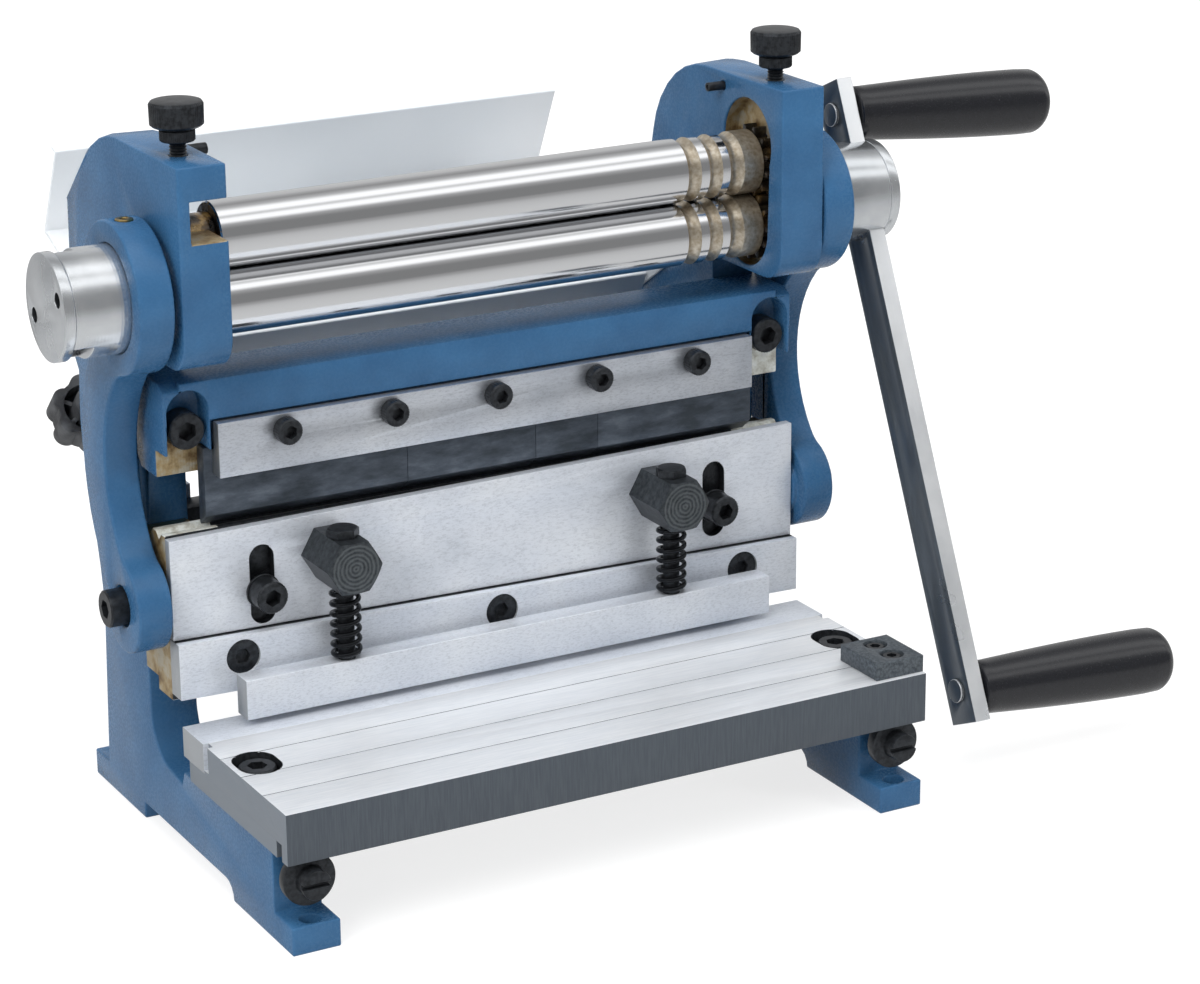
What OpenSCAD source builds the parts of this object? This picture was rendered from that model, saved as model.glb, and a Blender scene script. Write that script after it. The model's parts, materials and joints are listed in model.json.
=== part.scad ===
// Bench machine with slip rolls on top, a press brake below them and a shear at the table.
// X runs along the rolls, Y to the back and Z up. The origin is on the bench, midway
// between the side frames and under the shear line, which is the middle of the bench holes.

/* [Side frames] */
// Clear width between the side frames
clear_w = 210; // [200:1:300]
// Thickness of a side frame
wall = 17.3; // [16.8:0.1:22]
// Height of the rails under the table
rail_top = 32.2; // [31:0.1:40]
// Distance from the table's front back to the rails
rail_set = 14.7; // [12:0.1:17]
// Height of the bolting ledges
foot_h = 9.8; // [7:0.1:12]
// Distance from the table's front back to the feet
foot_set = 0.3; // [-6:0.1:2]
// Rear end of the feet
foot_rear = 89.4; // [88:0.1:100]
// Distances of the front and rear bench holes from the feet's ends
foot_hole_set = [5.2, 8.9]; // [4:0.1:12]
// Diameter of the bench holes
foot_bore = 7; // [5:0.1:8]
// Depth of a column from front to back at its waist
waist_w = 41; // [36:0.5:50]
// Height of the arch between the feet
arch_h = 6; // [4:0.1:8]

/* [Shear] */
// Thickness of the table
table_t = 18.1; // [17:0.1:24]
// Table depth from its front to the shear line
table_w = 86; // [85:0.1:100]
// How far the table stands out past the frames
table_over = 0.85; // [0:0.05:3]
// Width and thickness of the lower blade
lower_blade = [17.8, 10.7]; // [8:0.1:20]
// Height of the upper blade
blade_h = 20; // [18:0.1:30]
// Rise of the upper blade from one end to the other
blade_rake = 4.94; // [0:0.01:8]
// Height of the blade's middle above the table with the ram up
blade_lift = 6.85; // [6.4:0.05:10]
// Thickness of the upper blade
blade_t = 8; // [7:0.1:12]

/* [Ram and brake] */
// Thickness of the ram
ram_t = 12; // [12:0.1:16]
// Height of the ram
ram_h = 59.5; // [58:0.1:70]
// Thickness of the front plate
plate_t = 3.7; // [3:0.1:8]
// Thickness of the slide pads behind the ram
pad_t = 10.8; // [6:0.1:14]
// Height of the brake punch
punch_h = 28.3; // [26:0.1:36]
// Thickness of the brake punch
punch_t = 6; // [5:0.1:8]
// Length of the punch row
punch_w = 215; // [200:1:230]
// Height and depth of the cross beam
beam = [34.2, 26]; // [24:0.1:40]

/* [Hold down] */
// Distance of the springs from the middle
spring_x = 64.6; // [50:0.1:80]
// Size across flats of the hexagon blocks
block_af = 18; // [15:0.1:20]
// Outside diameter of the springs
spring_d = 11.1; // [10.4:0.1:12.5]
// Wire diameter of the springs
wire_d = 1.6; // [1:0.1:1.8]
// Curls in each spring
curls = 7; // [5:1:8]
// Length, depth and height of the pressure bar
hold_bar = [207.8, 8.5, 14.3]; // [8:0.1:210]

/* [Rolls] */
// Roll diameter
roll_d = 22.8; // [22:0.1:24]
// Gap between the two front rolls
nip = 0.2; // [0.1:0.05:1]
// Height of the lower roll above the underside of the heads
axis_rise = 17; // [16:0.1:20]
// Depth of the front rolls behind the shear line
axis_y = 8.5; // [8:0.1:9]
// Space between a roll end and the frame
end_gap = 3; // [2:0.1:4]
// Journal diameter of the lower roll
crank_d = 14; // [12:0.1:15]
// Journal diameter of the other rolls
journal_d = 11; // [9:0.1:12]
// Eccentricity of the hubs
throw = 6.3; // [5:0.1:7]
// Diameter of the hubs
hub_d = 36.4; // [35:0.1:40]
// Tilt of the rear roll's screws
knob_tilt = 42.9; // [40:0.1:46]
// Tooth count of the roll gears
teeth = 12; // [12:1:12]

/* [Lever] */
// Angle of the lever from upright
lever_tilt = 24.3; // [0:0.1:30]
// Distance of the lower grip from the hub centre
lever_long = 186; // [150:0.5:188]
// Distance of the upper grip from the hub centre
lever_short = 28.4; // [27:0.1:60]
// Width and thickness of the lever
lever_bar = [16, 6.3]; // [5:0.1:20]
// Length of a grip
grip_l = 84.5; // [70:0.5:110]
// Largest diameter of a grip
grip_d = 24.4; // [23:0.1:27]
// Angle by which the grips point down along the lever
grip_droop = 3; // [0:0.1:4]

/* [Fits] */
// Radial clearance of a turning or sliding fit
fit = 0.05; // [0.02:0.01:0.08]
// Clearance between flat faces that slide
slide = 0.1; // [0.05:0.01:0.12]

/* [Hidden] */
$fn = 48;
blue = "steelblue";
steel = "silver";
black = "dimgray";
eps = 0.01;

// Places along X
inner = clear_w / 2;
outer = inner + wall;
mid = inner + wall / 2;
span = outer + 0.7;
// Places along Y, from the table's front and from the shear line backwards
rail_front = rail_set - table_w;
foot_front = foot_set - table_w;
groove_y = rail_front - 6.2;
foot_holes = [foot_front + foot_hole_set[0], foot_rear - foot_hole_set[1]];
ram_y = slide + blade_t;
ram_back = ram_y + ram_t;
column_y = ram_back + pad_t + slide;
plate_y = ram_y - plate_t;
punch_y = ram_y + 0.15;
// Slope of the upper blade
rake = atan(blade_rake / (2 * span));
// Places along Z, from the rails upwards
table_top = rail_top + table_t;
blade_z = table_top + blade_lift;
plate_z = blade_z + blade_h / cos(rake) + eps;
ram_z = table_top + 6.7;
ram_top = ram_z + ram_h;
punch_z = ram_top + 0.1;
seat_z = punch_z + punch_h + slide;
beam_z = seat_z - 9.6;
beam_top = beam_z + beam[0];
head_z = beam_top + 8.4;
crank_z = head_z + axis_rise;
roll_r = roll_d / 2;
upper_z = crank_z + roll_d + nip;
head_top = upper_z + 29.7;
hub_z = crank_z + throw;
rear_y = axis_y + 29.5;
rear_z = crank_z + 2;

// Points on an arc in the YZ plane
function arc(cy, cz, r, a, b, n = 8) =
  [for (i = [0:n]) [cy + r * cos(a + (b - a) * i / n), cz + r * sin(a + (b - a) * i / n)]];
// Points of a smooth S between two places
function sway(p, q, n = 8) =
  [for (i = [0:n]) [p[0] + (q[0] - p[0]) * (1 - cos(180 * i / n)) / 2, p[1] + (q[1] - p[1]) * i / n]];

// An outline drawn in Y and Z, laid along X from x over the width w
module slab(x, w) {
  translate([x, 0, 0]) rotate([90, 0, 90]) linear_extrude(w) children();
}
module block(low, high) {
  translate(low) cube(high - low);
}
module rod_x(x, l, y, z, r) {
  translate([x, y, z]) rotate([0, 90, 0]) cylinder(h = l, r = r);
}
module rod_y(y, l, x, z, r) {
  translate([x, y, z]) rotate([-90, 0, 0]) cylinder(h = l, r = r);
}
module rod_z(z, l, x, y, r) {
  translate([x, y, z]) cylinder(h = l, r = r);
}
module both() {
  children();
  mirror([1, 0, 0]) children();
}
module left() {
  mirror([1, 0, 0]) children();
}
// Socket head screw: the head stands on the XY plane and the shank hangs below it
module cap_screw(head_r, head_h, shank_r, shank_l) {
  difference() {
    union() {
      cylinder(h = head_h - 0.6, r = head_r);
      translate([0, 0, head_h - 0.6]) cylinder(h = 0.6, r1 = head_r, r2 = head_r - 0.6);
      translate([0, 0, -shank_l]) cylinder(h = shank_l + eps, r = shank_r);
    }
    translate([0, 0, head_h * 0.5]) cylinder(h = head_h, r = head_r * 0.53, $fn = 6);
  }
}
// Countersunk socket screw: its head's face lies in the XY plane
module sunk_screw(head_r, shank_r, shank_l) {
  difference() {
    union() {
      translate([0, 0, shank_r - head_r]) cylinder(h = head_r - shank_r, r1 = shank_r, r2 = head_r);
      translate([0, 0, -shank_l]) cylinder(h = shank_l - head_r + shank_r + eps, r = shank_r);
    }
    translate([0, 0, -head_r * 0.35]) cylinder(h = head_r, r = head_r * 0.45, $fn = 6);
  }
}
// The hole that a countersunk screw sits in
module sunk_hole(head_r, shank_r, depth) {
  translate([0, 0, shank_r - head_r]) cylinder(h = head_r - shank_r, r1 = shank_r, r2 = head_r);
  translate([0, 0, -eps]) cylinder(h = 1, r = head_r);
  translate([0, 0, -depth]) cylinder(h = depth, r = shank_r);
}
// Faces the front of the machine
module face_front(x, y, z) {
  translate([x, y, z]) rotate([90, 0, 0]) children();
}

// Side frames
m8 = 4;
m8_head = [6.5, 8];
thumb_y = 2.5;
notch_h = 14;
notch_z = upper_z + 4.1;
skin = 4.3;
bush_r = 10;
upper_bush_r = 8;
lift = 2;
pocket_d = 6.5;
crown_r = 39;
crown_y = 36.7;
head_front = -16.4;
shoulder_y = 88;
block_w = 16;
travel = [6, 8];
knob_x = outer - 10.9;
knob_far = 98;
knob_hub = 5.9;
table_screw_y = -41.5;
adjust_z = rail_top - 8.2;
adjust_depth = 20;
screw_hole = 0.02;
beam_screw_z = beam_z + 17;
gib_t = 6;
guide_t = 11;
guide_y = column_y + 3;
gib_y = guide_y + guide_t + slide;
guard_hole = [73, crank_z - 21];
left_pin = [axis_y + 10.8, head_top - 3.1];
right_pin = [axis_y + 15.8, head_top - 5.1];

module frame_outline() {
  waist = [column_y + waist_w, table_top + 18];
  hip = [shoulder_y - 2.3, crank_z - 56.3];
  polygon(concat(
    [[foot_front, 0], [foot_front, foot_h], [rail_front, foot_h], [rail_front, rail_top],
     [3, rail_top], [5.3, rail_top - 5.5]],
    arc(column_y - 17, rail_top + 13.1, 17, -90, 0),
    [[column_y, head_z]],
    arc(head_front + 12, head_z + 12, 12, 270, 180),
    [[head_front, head_top]],
    arc(crown_y, head_top - crown_r, crown_r, 90, 0),
    [[shoulder_y, crank_z - 35.2], [shoulder_y - 3.7, crank_z - 40]],
    sway(hip, waist),
    [[76.2, foot_h], [foot_rear, foot_h], [foot_rear, 0], [41.8, 0], [41.8, arch_h]],
    arc(-30.7, arch_h - 6, 6, 90, 180, 4)));
}
// The head rises to a ridge near its outer face
module head_ridge() {
  hull() {
    slab(inner, wall) polygon(concat([[crown_y, crank_z - 35.2]],
      arc(crown_y, head_top - crown_r, crown_r, 90, 0), [[shoulder_y, crank_z - 35.2]]));
    slab(outer - 3.2, 0.4) polygon([[crown_y, head_top], [46, head_top - 0.7],
      [59, head_top - 5.5], [70.8, head_top - 11.4], [93.3, crank_z + 20.9],
      [shoulder_y, crank_z - 35.2], [crown_y, crank_z - 35.2]]);
  }
}
// Turns the Z axis along the rear roll's screws, with the roll's axis at the origin
module along_knob() {
  translate([0, rear_y, rear_z]) rotate([90 - knob_tilt, 0, 0]) children();
}
module frame_cuts() {
  for (y = foot_holes) rod_z(-1, foot_h + 2, mid, y, foot_bore / 2);
  rod_x(inner - 1, wall + 2, axis_y, crank_z, bush_r + screw_hole);
  rod_z(upper_z + 18.1 - eps, 20, mid, thumb_y, 3 + fit);
  rod_y(column_y - 1, 18, mid, beam_screw_z, m8 + screw_hole);
  rod_z(rail_top - 22, 23, mid, table_screw_y, m8 + screw_hole);
  rod_y(rail_front - 1, adjust_depth + 1, mid, adjust_z, m8 + fit);
  along_knob() {
    translate([inner - 1, -block_w / 2 - slide, -block_w / 2 - travel[0] - slide])
      cube([1 + wall - skin, block_w + 2 * slide, block_w + travel[0] + travel[1] + 2 * slide]);
    translate([knob_x, 0, -80]) cylinder(h = 80, r = m8 + fit);
    translate([knob_x, 0, -80]) cylinder(h = 17, r = knob_hub + 0.4);
  }
  for (z = [ram_z + 6, ram_top - 6]) rod_x(inner - 1, 13, gib_y + gib_t / 2, z, 2 + screw_hole);
  rod_x(inner - 1, 6.5, guard_hole[0], guard_hole[1], 2.5 + screw_hole);
}
module left_side_frame() {
  color(blue) left() difference() {
    union() {
      slab(inner, wall) frame_outline();
      head_ridge();
    }
    frame_cuts();
    rod_x(inner - 1, 7, left_pin[0], left_pin[1], 2 + screw_hole);
    block([inner - 1, head_front - 1, notch_z], [outer - skin, axis_y + 12, notch_z + notch_h]);
    block([inner - 1, axis_y - upper_bush_r - fit, upper_z],
      [outer - skin, axis_y + upper_bush_r + fit, notch_z + 1]);
    rod_x(inner - 1, wall - skin + 1, axis_y, upper_z, upper_bush_r + fit);
  }
}
module right_side_frame() {
  color(blue) difference() {
    union() {
      slab(inner, wall) frame_outline();
      head_ridge();
    }
    frame_cuts();
    rod_x(inner - 1, 7, right_pin[0], right_pin[1], 1.6 + screw_hole);
    hull() {
      rod_x(inner - 1, pocket_d + 1, axis_y, crank_z, 15);
      rod_x(inner - 1, pocket_d + 1, axis_y, upper_z, 16);
    }
    rod_x(inner - 1, pocket_d + 1, axis_y - 1, upper_z + 7, 16);
    for (up = [0, lift + fit]) rod_x(inner, wall + 1, axis_y, upper_z + up, upper_bush_r + fit);
    block([inner, axis_y - upper_bush_r - fit, upper_z],
      [outer + 1, axis_y + upper_bush_r + fit, upper_z + lift + fit]);
    rod_z(upper_z, 18.2, mid, thumb_y, 2 + fit);
  }
}

// Cross beam with its seat for the punches
clamp_w = clear_w - 1.2;
clamp_t = 6.3;
clamp_h = 19.25;
clamp_y = punch_y - clamp_t;
clamp_z = seat_z - 9.5;
beam_y = column_y - beam[1];
screw_xs = [-80, -40, 0, 40, 80];

module cross_beam() {
  back = punch_y + punch_t + fit;
  color(blue) difference() {
    slab(-outer, 2 * outer) polygon([[back, beam_z], [column_y - 3, beam_z], [column_y, beam_z + 4],
      [column_y, beam_top], [beam_y, beam_top], [beam_y, seat_z + 10],
      [beam_y + 0.5, seat_z + 10], [beam_y + 0.5, seat_z], [back, seat_z]]);
    block([-clamp_w / 2 - 1, beam_y - 1, seat_z - 1],
      [clamp_w / 2 + 1, punch_y + fit, clamp_z + clamp_h + 0.5]);
    both() {
      rod_y(beam_y - 1, back - beam_y + 1, mid, beam_z + 24, 7.5);
      block([mid - 7.5, beam_y - 1, beam_z], [mid + 7.5, back, beam_z + 24]);
      rod_y(beam_y, 40, mid, beam_screw_z, m8 + screw_hole);
      slab(outer - 6, 7) polygon([[beam_y - 1, beam_top - 3], [beam_y - 1, beam_top + 1],
        [beam_y + 6, beam_top + 1]]);
    }
    for (x = screw_xs) rod_y(beam_y, 20, x, clamp_z + 13.7, 2.5 + screw_hole);
  }
}
module beam_screws() {
  color(black) both() face_front(mid, punch_y + punch_t + fit, beam_screw_z)
    cap_screw(m8_head[0], m8_head[1], m8, 33);
}
module clamp_bar() {
  color(steel) difference() {
    block([-clamp_w / 2, clamp_y, clamp_z], [clamp_w / 2, punch_y, clamp_z + clamp_h]);
    for (x = screw_xs) rod_y(clamp_y - 1, clamp_t + 2, x, clamp_z + 13.7, 2.5 + screw_hole);
  }
}
module clamp_screws() {
  color(black) for (x = screw_xs) face_front(x, clamp_y, clamp_z + 13.7) cap_screw(4.6, 4.9, 2.5, 16);
}
// Four punches stand side by side, and their joints are the cuts between them
punch_cuts = [-punch_w / 2, -31.7, 18.7, 43.8, punch_w / 2];
module punch_segments() {
  tip_y = punch_y + punch_t - 0.75;
  color("#33363a") for (i = [0:3]) slab(punch_cuts[i] + 0.05, punch_cuts[i + 1] - punch_cuts[i] - 0.1)
    polygon([[punch_y, punch_z + 4.2], [tip_y, punch_z], [punch_y + punch_t, punch_z + 0.8],
      [punch_y + punch_t, punch_z + punch_h], [punch_y, punch_z + punch_h]]);
}

// Bushes, gibs, pins and guard, all fixed to the frames
module crank_bush(x, l) {
  difference() {
    rod_x(x, l, axis_y, crank_z, bush_r);
    rod_x(x - 1, l + 2, axis_y, crank_z, crank_d / 2 + fit);
  }
}
module crank_bushes() {
  color("peru") {
    crank_bush(inner + pocket_d + 0.1, wall - pocket_d - 0.1);
    left() crank_bush(inner - end_gap + slide, wall + end_gap - slide);
  }
}
gib_z = [ram_z - 13, ram_top + 4];
gib_x = 7;
module gibs() {
  color(steel) both() difference() {
    block([inner - gib_x, gib_y, gib_z[0]], [inner, gib_y + gib_t, gib_z[1]]);
    for (z = [ram_z + 6, ram_top - 6]) rod_x(inner - gib_x - 1, gib_x + 2, gib_y + gib_t / 2, z, 2.02);
  }
}
module gib_screws() {
  color(black) both() for (z = [ram_z + 6, ram_top - 6])
    translate([inner - gib_x, gib_y + gib_t / 2, z]) rotate([0, -90, 0]) cap_screw(2.9, 3.5, 2, 18);
}
module roll_pins() {
  color(black) {
    left() difference() {
      rod_x(inner - 8, 13, left_pin[0], left_pin[1], 2);
      rod_x(inner - 9, 15, left_pin[0], left_pin[1], 1.1);
    }
    difference() {
      rod_x(inner - 6.5, 11.5, right_pin[0], right_pin[1], 1.6);
      rod_x(inner - 7.5, 13.5, right_pin[0], right_pin[1], 0.8);
    }
  }
}
guard_w = clear_w - 4;
sheet_t = 1.2;
// Bend points of the folded sheet, from its front lip to the hem at the top
guard_path = [[77, crank_z - 34], [81.5, crank_z - 42], [165, crank_z - 10],
  [148.6, crank_z + 23.2], [152.4, crank_z + 24.4]];
module fold_strip(p, q) {
  run = q - p;
  slope = atan2(run[1], run[0]);
  translate(p) rotate(slope) translate([0, -sheet_t / 2]) square([norm(run), sheet_t]);
}
module rear_guard() {
  color("gainsboro") {
    slab(-guard_w / 2, guard_w) for (i = [0:3]) {
      fold_strip(guard_path[i], guard_path[i + 1]);
      translate(guard_path[i]) circle(d = sheet_t, $fn = 16);
    }
    both() difference() {
      slab(inner - sheet_t - 0.2, sheet_t) polygon([[62, guard_hole[1] + 8], [62, guard_hole[1] - 6],
        [84, crank_z - 41], [95, crank_z - 36.5], [95, crank_z - 20]]);
      rod_x(inner - 5, 6, guard_hole[0], guard_hole[1], 2.52);
    }
    both() block([guard_w / 2 - 1, 86, crank_z - 39], [inner - 0.2, 94, crank_z - 37.2]);
  }
}
module guard_screws() {
  color(black) both() translate([inner - sheet_t - 0.2, guard_hole[0], guard_hole[1]])
    rotate([0, -90, 0]) cap_screw(4.5, 3, 2.5, 6.5);
}

// Table with the lower blade
table_x = outer + table_over;
table_z = rail_top + fit;
rebate_z = table_top - lower_blade[1];
blade_screw_xs = [22.3 - outer, 0, outer - 22.3];
stop_size = [19.6, 23.5, 6.2];
stop_low = [table_x + 0.05 - stop_size[0], 2 - table_w, table_top];
stop_screw_x = table_x - 8.85;
stop_screw_ys = [stop_low[1] + 17.4, stop_low[1] + 6.8];
module obround(x, z, h, r, l) {
  for (s = [-1, 1]) rod_z(z, h, x, table_screw_y + s * (l / 2 - r), r);
  block([x - r, table_screw_y - l / 2 + r, z], [x + r, table_screw_y + l / 2 - r, z + h]);
}
module table() {
  color("darkgray") difference() {
    slab(-table_x, 2 * table_x) polygon([[-table_w, table_z], [groove_y - 4, table_z],
      [groove_y - 4, table_z + 6], [groove_y, table_z + 6], [groove_y, table_z], [-5, table_z],
      [-5, rebate_z], [-slide - lower_blade[0], rebate_z], [-slide - lower_blade[0], table_top],
      [-table_w, table_top]]);
    for (y = [-32.8, -50.2, -67.6]) block([-table_x - 1, y - 0.2, table_top - 0.3],
      [table_x + 1, y + 0.2, table_top + 1]);
    both() {
      obround(mid, table_top - 9, 10, 7.5, 20);
      obround(mid, table_z - 1, 20, 4.5, 14);
      block([table_x - 2, -21.7, rebate_z + 1.3], [table_x + 1, -17, table_top + 1]);
    }
    for (x = blade_screw_xs) rod_z(table_z + 2, 20, x, -9.5, 3 + screw_hole);
    for (y = stop_screw_ys) rod_z(table_top - 8, 9, stop_screw_x, y, 2 + screw_hole);
  }
}
module table_screws() {
  color(black) both() translate([mid, table_screw_y, table_top - 9 + fit])
    cap_screw(m8_head[0], m8_head[1], m8, table_t + 10);
}
module lower_blade_bar() {
  color(steel) difference() {
    block([-table_x, -slide - lower_blade[0], rebate_z], [table_x, -slide, table_top]);
    for (x = blade_screw_xs) translate([x, -9.5, table_top - 1]) sunk_hole(6, 3 + screw_hole, 20);
  }
}
module lower_blade_screws() {
  color(black) for (x = blade_screw_xs) translate([x, -9.5, table_top - 1]) sunk_screw(6, 3, 15);
}
module stop_block() {
  color("#3c4044") difference() {
    block(stop_low, stop_low + stop_size);
    for (y = stop_screw_ys) {
      rod_z(table_top - 1, 10, stop_screw_x, y, 2 + screw_hole);
      rod_z(table_top + 2.2, 10, stop_screw_x, y, 4.25);
    }
  }
}
module stop_screws() {
  color(black) for (y = stop_screw_ys) translate([stop_screw_x, y, table_top + 2.2])
    cap_screw(3.6, 3.4, 2, 9);
}
// A collar in the table's groove moves the table when the screw is turned in the rail
module adjuster() {
  color(black) difference() {
    union() {
      rod_y(groove_y - 4 + slide, 4 - 2 * slide, mid, adjust_z, 9.3);
      rod_y(groove_y - 10, 6.2, mid, adjust_z, 5.1);
      rod_y(groove_y - 1, adjust_depth + rail_front - groove_y - 1, mid, adjust_z, m8);
    }
    block([mid - 6, groove_y - 11, adjust_z - 0.8], [mid + 6, groove_y - 8, adjust_z + 0.8]);
  }
}
module left_adjuster() {
  left() adjuster();
}
module right_adjuster() {
  adjuster();
}

// Lower roll, which is also the crankshaft
roll_end = inner - end_gap;
hub_in = outer + 0.7;
hub_out = hub_in + 33;
cap_t = 3.8;
arm_in = outer + 2.8;
arm_t = 12.2;
lever_in = hub_out - 0.4 - lever_bar[1];
shaft_end = lever_in - 0.7;
right_end = inner + 1.3;
wire_grooves = [[75.1, 5.3], [83.8, 5.3], [92.2, 5.8]];
module roll(y, z, end) {
  difference() {
    rod_x(-roll_end, roll_end + end, y, z, roll_r);
    for (g = wire_grooves) difference() {
      rod_x(g[0], g[1], y, z, roll_r + 1);
      rod_x(g[0] - 1, g[1] + 2, y, z, roll_r - 1.6);
    }
  }
}
module lower_roll() {
  color("lightgray") {
    roll(axis_y, crank_z, right_end);
    both() rod_x(roll_end - 1, shaft_end - roll_end + 1, axis_y, crank_z, crank_d / 2);
  }
}
// Gear outline with straight-sided slim teeth, so that the pair runs with play
pitch_r = (roll_d + nip) / 2;
module gear(z, bore, turn) {
  step = 360 / teeth;
  difference() {
    slab(right_end, pocket_d - 1.5) translate([axis_y, z]) rotate(turn) polygon([
      for (i = [0:teeth - 1]) for (p = [[-8.2, -2.2], [-5.6, 0], [-2.4, 1.6], [2.4, 1.6], [5.6, 0],
        [8.2, -2.2]]) (pitch_r + p[1]) * [cos(i * step + p[0]), sin(i * step + p[0])]]);
    rod_x(roll_end - 1, 30, axis_y, z, bore);
  }
}
module crank_gear() {
  color(black) gear(crank_z, crank_d / 2 + screw_hole, 90);
}
module hub() {
  color("lightgray") difference() {
    rod_x(hub_in, hub_out - hub_in, axis_y, hub_z, hub_d / 2);
    rod_x(hub_in - 1, shaft_end - hub_in + 1 + 0.1, axis_y, crank_z, crank_d / 2 + screw_hole);
    translate([0, axis_y, hub_z]) rotate([-lever_tilt, 0, 0])
      block([lever_in, -lever_bar[0] / 2 - 0.1, -hub_d], [hub_out + 1, lever_bar[0] / 2 + 0.1, hub_d]);
    for (s = [-1, 1]) hub_screw(s) rod_z(-16, 20, 0, 0, 2 + screw_hole);
  }
}
module hub_screw(s) {
  translate([hub_out + cap_t, axis_y, hub_z]) rotate([-lever_tilt, 0, 0])
    translate([0, s * 12.4, 0]) rotate([0, 90, 0]) children();
}
module left_hub() {
  left() hub();
}
module right_hub() {
  hub();
}
// Turned caps close the lever slots, each with two plain spanner holes
module hub_caps() {
  color("silver") both() difference() {
    union() {
      rod_x(hub_out, cap_t, axis_y, hub_z, hub_d / 2);
      for (s = [-1, 1]) hub_screw(s) rod_z(-cap_t - 12, 12.1, 0, 0, 2);
    }
    for (s = [-1, 1]) hub_screw(s) rod_z(-2.6, 4, 0, 0, 2.6);
  }
}
module lever() {
  color("lightgray") translate([lever_in, axis_y, hub_z]) rotate([-lever_tilt, 0, 0]) difference() {
    block([0, -lever_bar[0] / 2, -lever_long - 12], [lever_bar[1], lever_bar[0] / 2, lever_short + 12]);
    for (z = [-lever_long, lever_short]) grip_line(z) translate([0, 0, -1])
      cylinder(h = lever_bar[1] + 2, r = 4 + screw_hole);
  }
}
// Turns the Z axis along a grip, which leaves the lever's outer face at the height z
module grip_line(z) {
  translate([lever_bar[1], 0, z]) rotate([0, 90 + grip_droop, 0]) translate([0, 0, -lever_bar[1]])
    children();
}
module at_grip(z) {
  translate([lever_in, axis_y, hub_z]) rotate([-lever_tilt, 0, 0]) grip_line(z) children();
}
module grip_spindles() {
  color("lightgray") for (z = [-lever_long, lever_short]) at_grip(z) {
    translate([0, 0, -0.5]) cylinder(h = lever_bar[1] + grip_l - 14, r = 4);
    translate([0, 0, -1.2]) cylinder(h = 0.9, r = 4.3);
  }
}
module grip() {
  r = grip_d / 2;
  translate([0, 0, lever_bar[1] + 1.2]) difference() {
    rotate_extrude() polygon(concat([[0, 0], [r - 3.1, 0], [r - 2.3, 1]],
      [for (i = [0:6]) [r - 2.3 + 2.3 * sin(15 * i), 4 + (grip_l - 16) * i / 6]],
      arc(r - 7, grip_l - 8, 7, 15, 90, 5), [[0, grip_l - 0.6]]));
    translate([0, 0, -1]) cylinder(h = grip_l - 14, r = 4 + fit);
  }
}
module upper_grip() {
  color("#1b1b1d") at_grip(lever_short) grip();
}
module lower_grip() {
  color("#1b1b1d") at_grip(-lever_long) grip();
}

// Upper roll in bushes that the thumbscrews hold down
module upper_bush(x, l) {
  difference() {
    rod_x(x, l, axis_y, upper_z, upper_bush_r);
    rod_x(x - 1, l + 2, axis_y, upper_z, journal_d / 2 + fit);
  }
}
module upper_bushes() {
  color("peru") {
    upper_bush(inner + pocket_d + 0.1, wall - pocket_d - 0.2);
    left() upper_bush(roll_end + slide, outer - skin - 0.1 - roll_end - slide);
  }
}
module upper_roll() {
  color("lightgray") {
    roll(axis_y, upper_z, right_end);
    rod_x(-outer + skin + 0.5, 2 * outer - skin - 0.8, axis_y, upper_z, journal_d / 2);
  }
}
module upper_gear() {
  color(black) gear(upper_z, journal_d / 2 + screw_hole, 90 + 180 / teeth);
}
module thumbscrew() {
  tip = upper_z + upper_bush_r - 0.1;
  color(black) translate([mid, thumb_y, 0]) {
    translate([0, 0, tip]) cylinder(h = notch_z + notch_h - tip + 0.2, r = 2);
    translate([0, 0, notch_z + notch_h + 0.1]) cylinder(h = 18, r = 3);
    translate([0, 0, head_top + 4.7]) cylinder(h = 4.5, r = 5.9);
    translate([0, 0, head_top + 9.1]) cylinder(h = 1, r1 = 8, r2 = 9);
    translate([0, 0, head_top + 10.1]) cylinder(h = 7, r = 9);
    translate([0, 0, head_top + 17.1]) cylinder(h = 1, r1 = 9, r2 = 8.2);
  }
}
module left_thumbscrew() {
  left() thumbscrew();
}
module right_thumbscrew() {
  thumbscrew();
}

// Arms that hang from the hubs and carry the ram
arm_r = 26;
boss_r = 16.5;
pivot = [ram_y + ram_t / 2, ram_z + 35.2];
pivot_r = 5;
screw_seat = 2;
module arm(boss = [arm_in, arm_in + arm_t]) {
  bow = [axis_y - 31.3, (hub_z + pivot[1]) / 2 - 6.5];
  color(blue) difference() {
    union() {
      rod_x(boss[0], boss[1] - boss[0], axis_y, hub_z, arm_r);
      rod_x(span + 0.3, arm_in - span, pivot[0], pivot[1], 11);
      slab(arm_in, arm_t) offset(r = -12) offset(r = 12) {
        translate([axis_y, hub_z]) circle(arm_r);
        translate(pivot) circle(boss_r);
        polygon(concat(arc(bow[0], bow[1], 45.9, -54, 44, 14), arc(bow[0], bow[1], 66, 44, -44, 14)));
      }
    }
    rod_x(outer, 30, axis_y, hub_z, hub_d / 2 + fit);
    rod_x(boss[1], 10, axis_y, hub_z, arm_r + 1);
    rod_x(span - 1, arm_t + 6, pivot[0], pivot[1], pivot_r + screw_hole);
    rod_x(arm_in + arm_t - screw_seat, 5, pivot[0], pivot[1], m8_head[0] + 0.6);
    rod_z(hub_z + 10, 20, arm_in + arm_t / 2, axis_y, 3 + screw_hole);
  }
}
module left_arm() {
  left() arm();
}
module right_arm() {
  arm([outer + 0.8, arm_in + arm_t - 2]);
}
module pivot_screw() {
  color(black) translate([arm_in + arm_t - screw_seat, pivot[0], pivot[1]]) rotate([0, 90, 0])
    cap_screw(m8_head[0], m8_head[1], pivot_r, arm_in + arm_t - screw_seat - span - 0.3);
}
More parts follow.
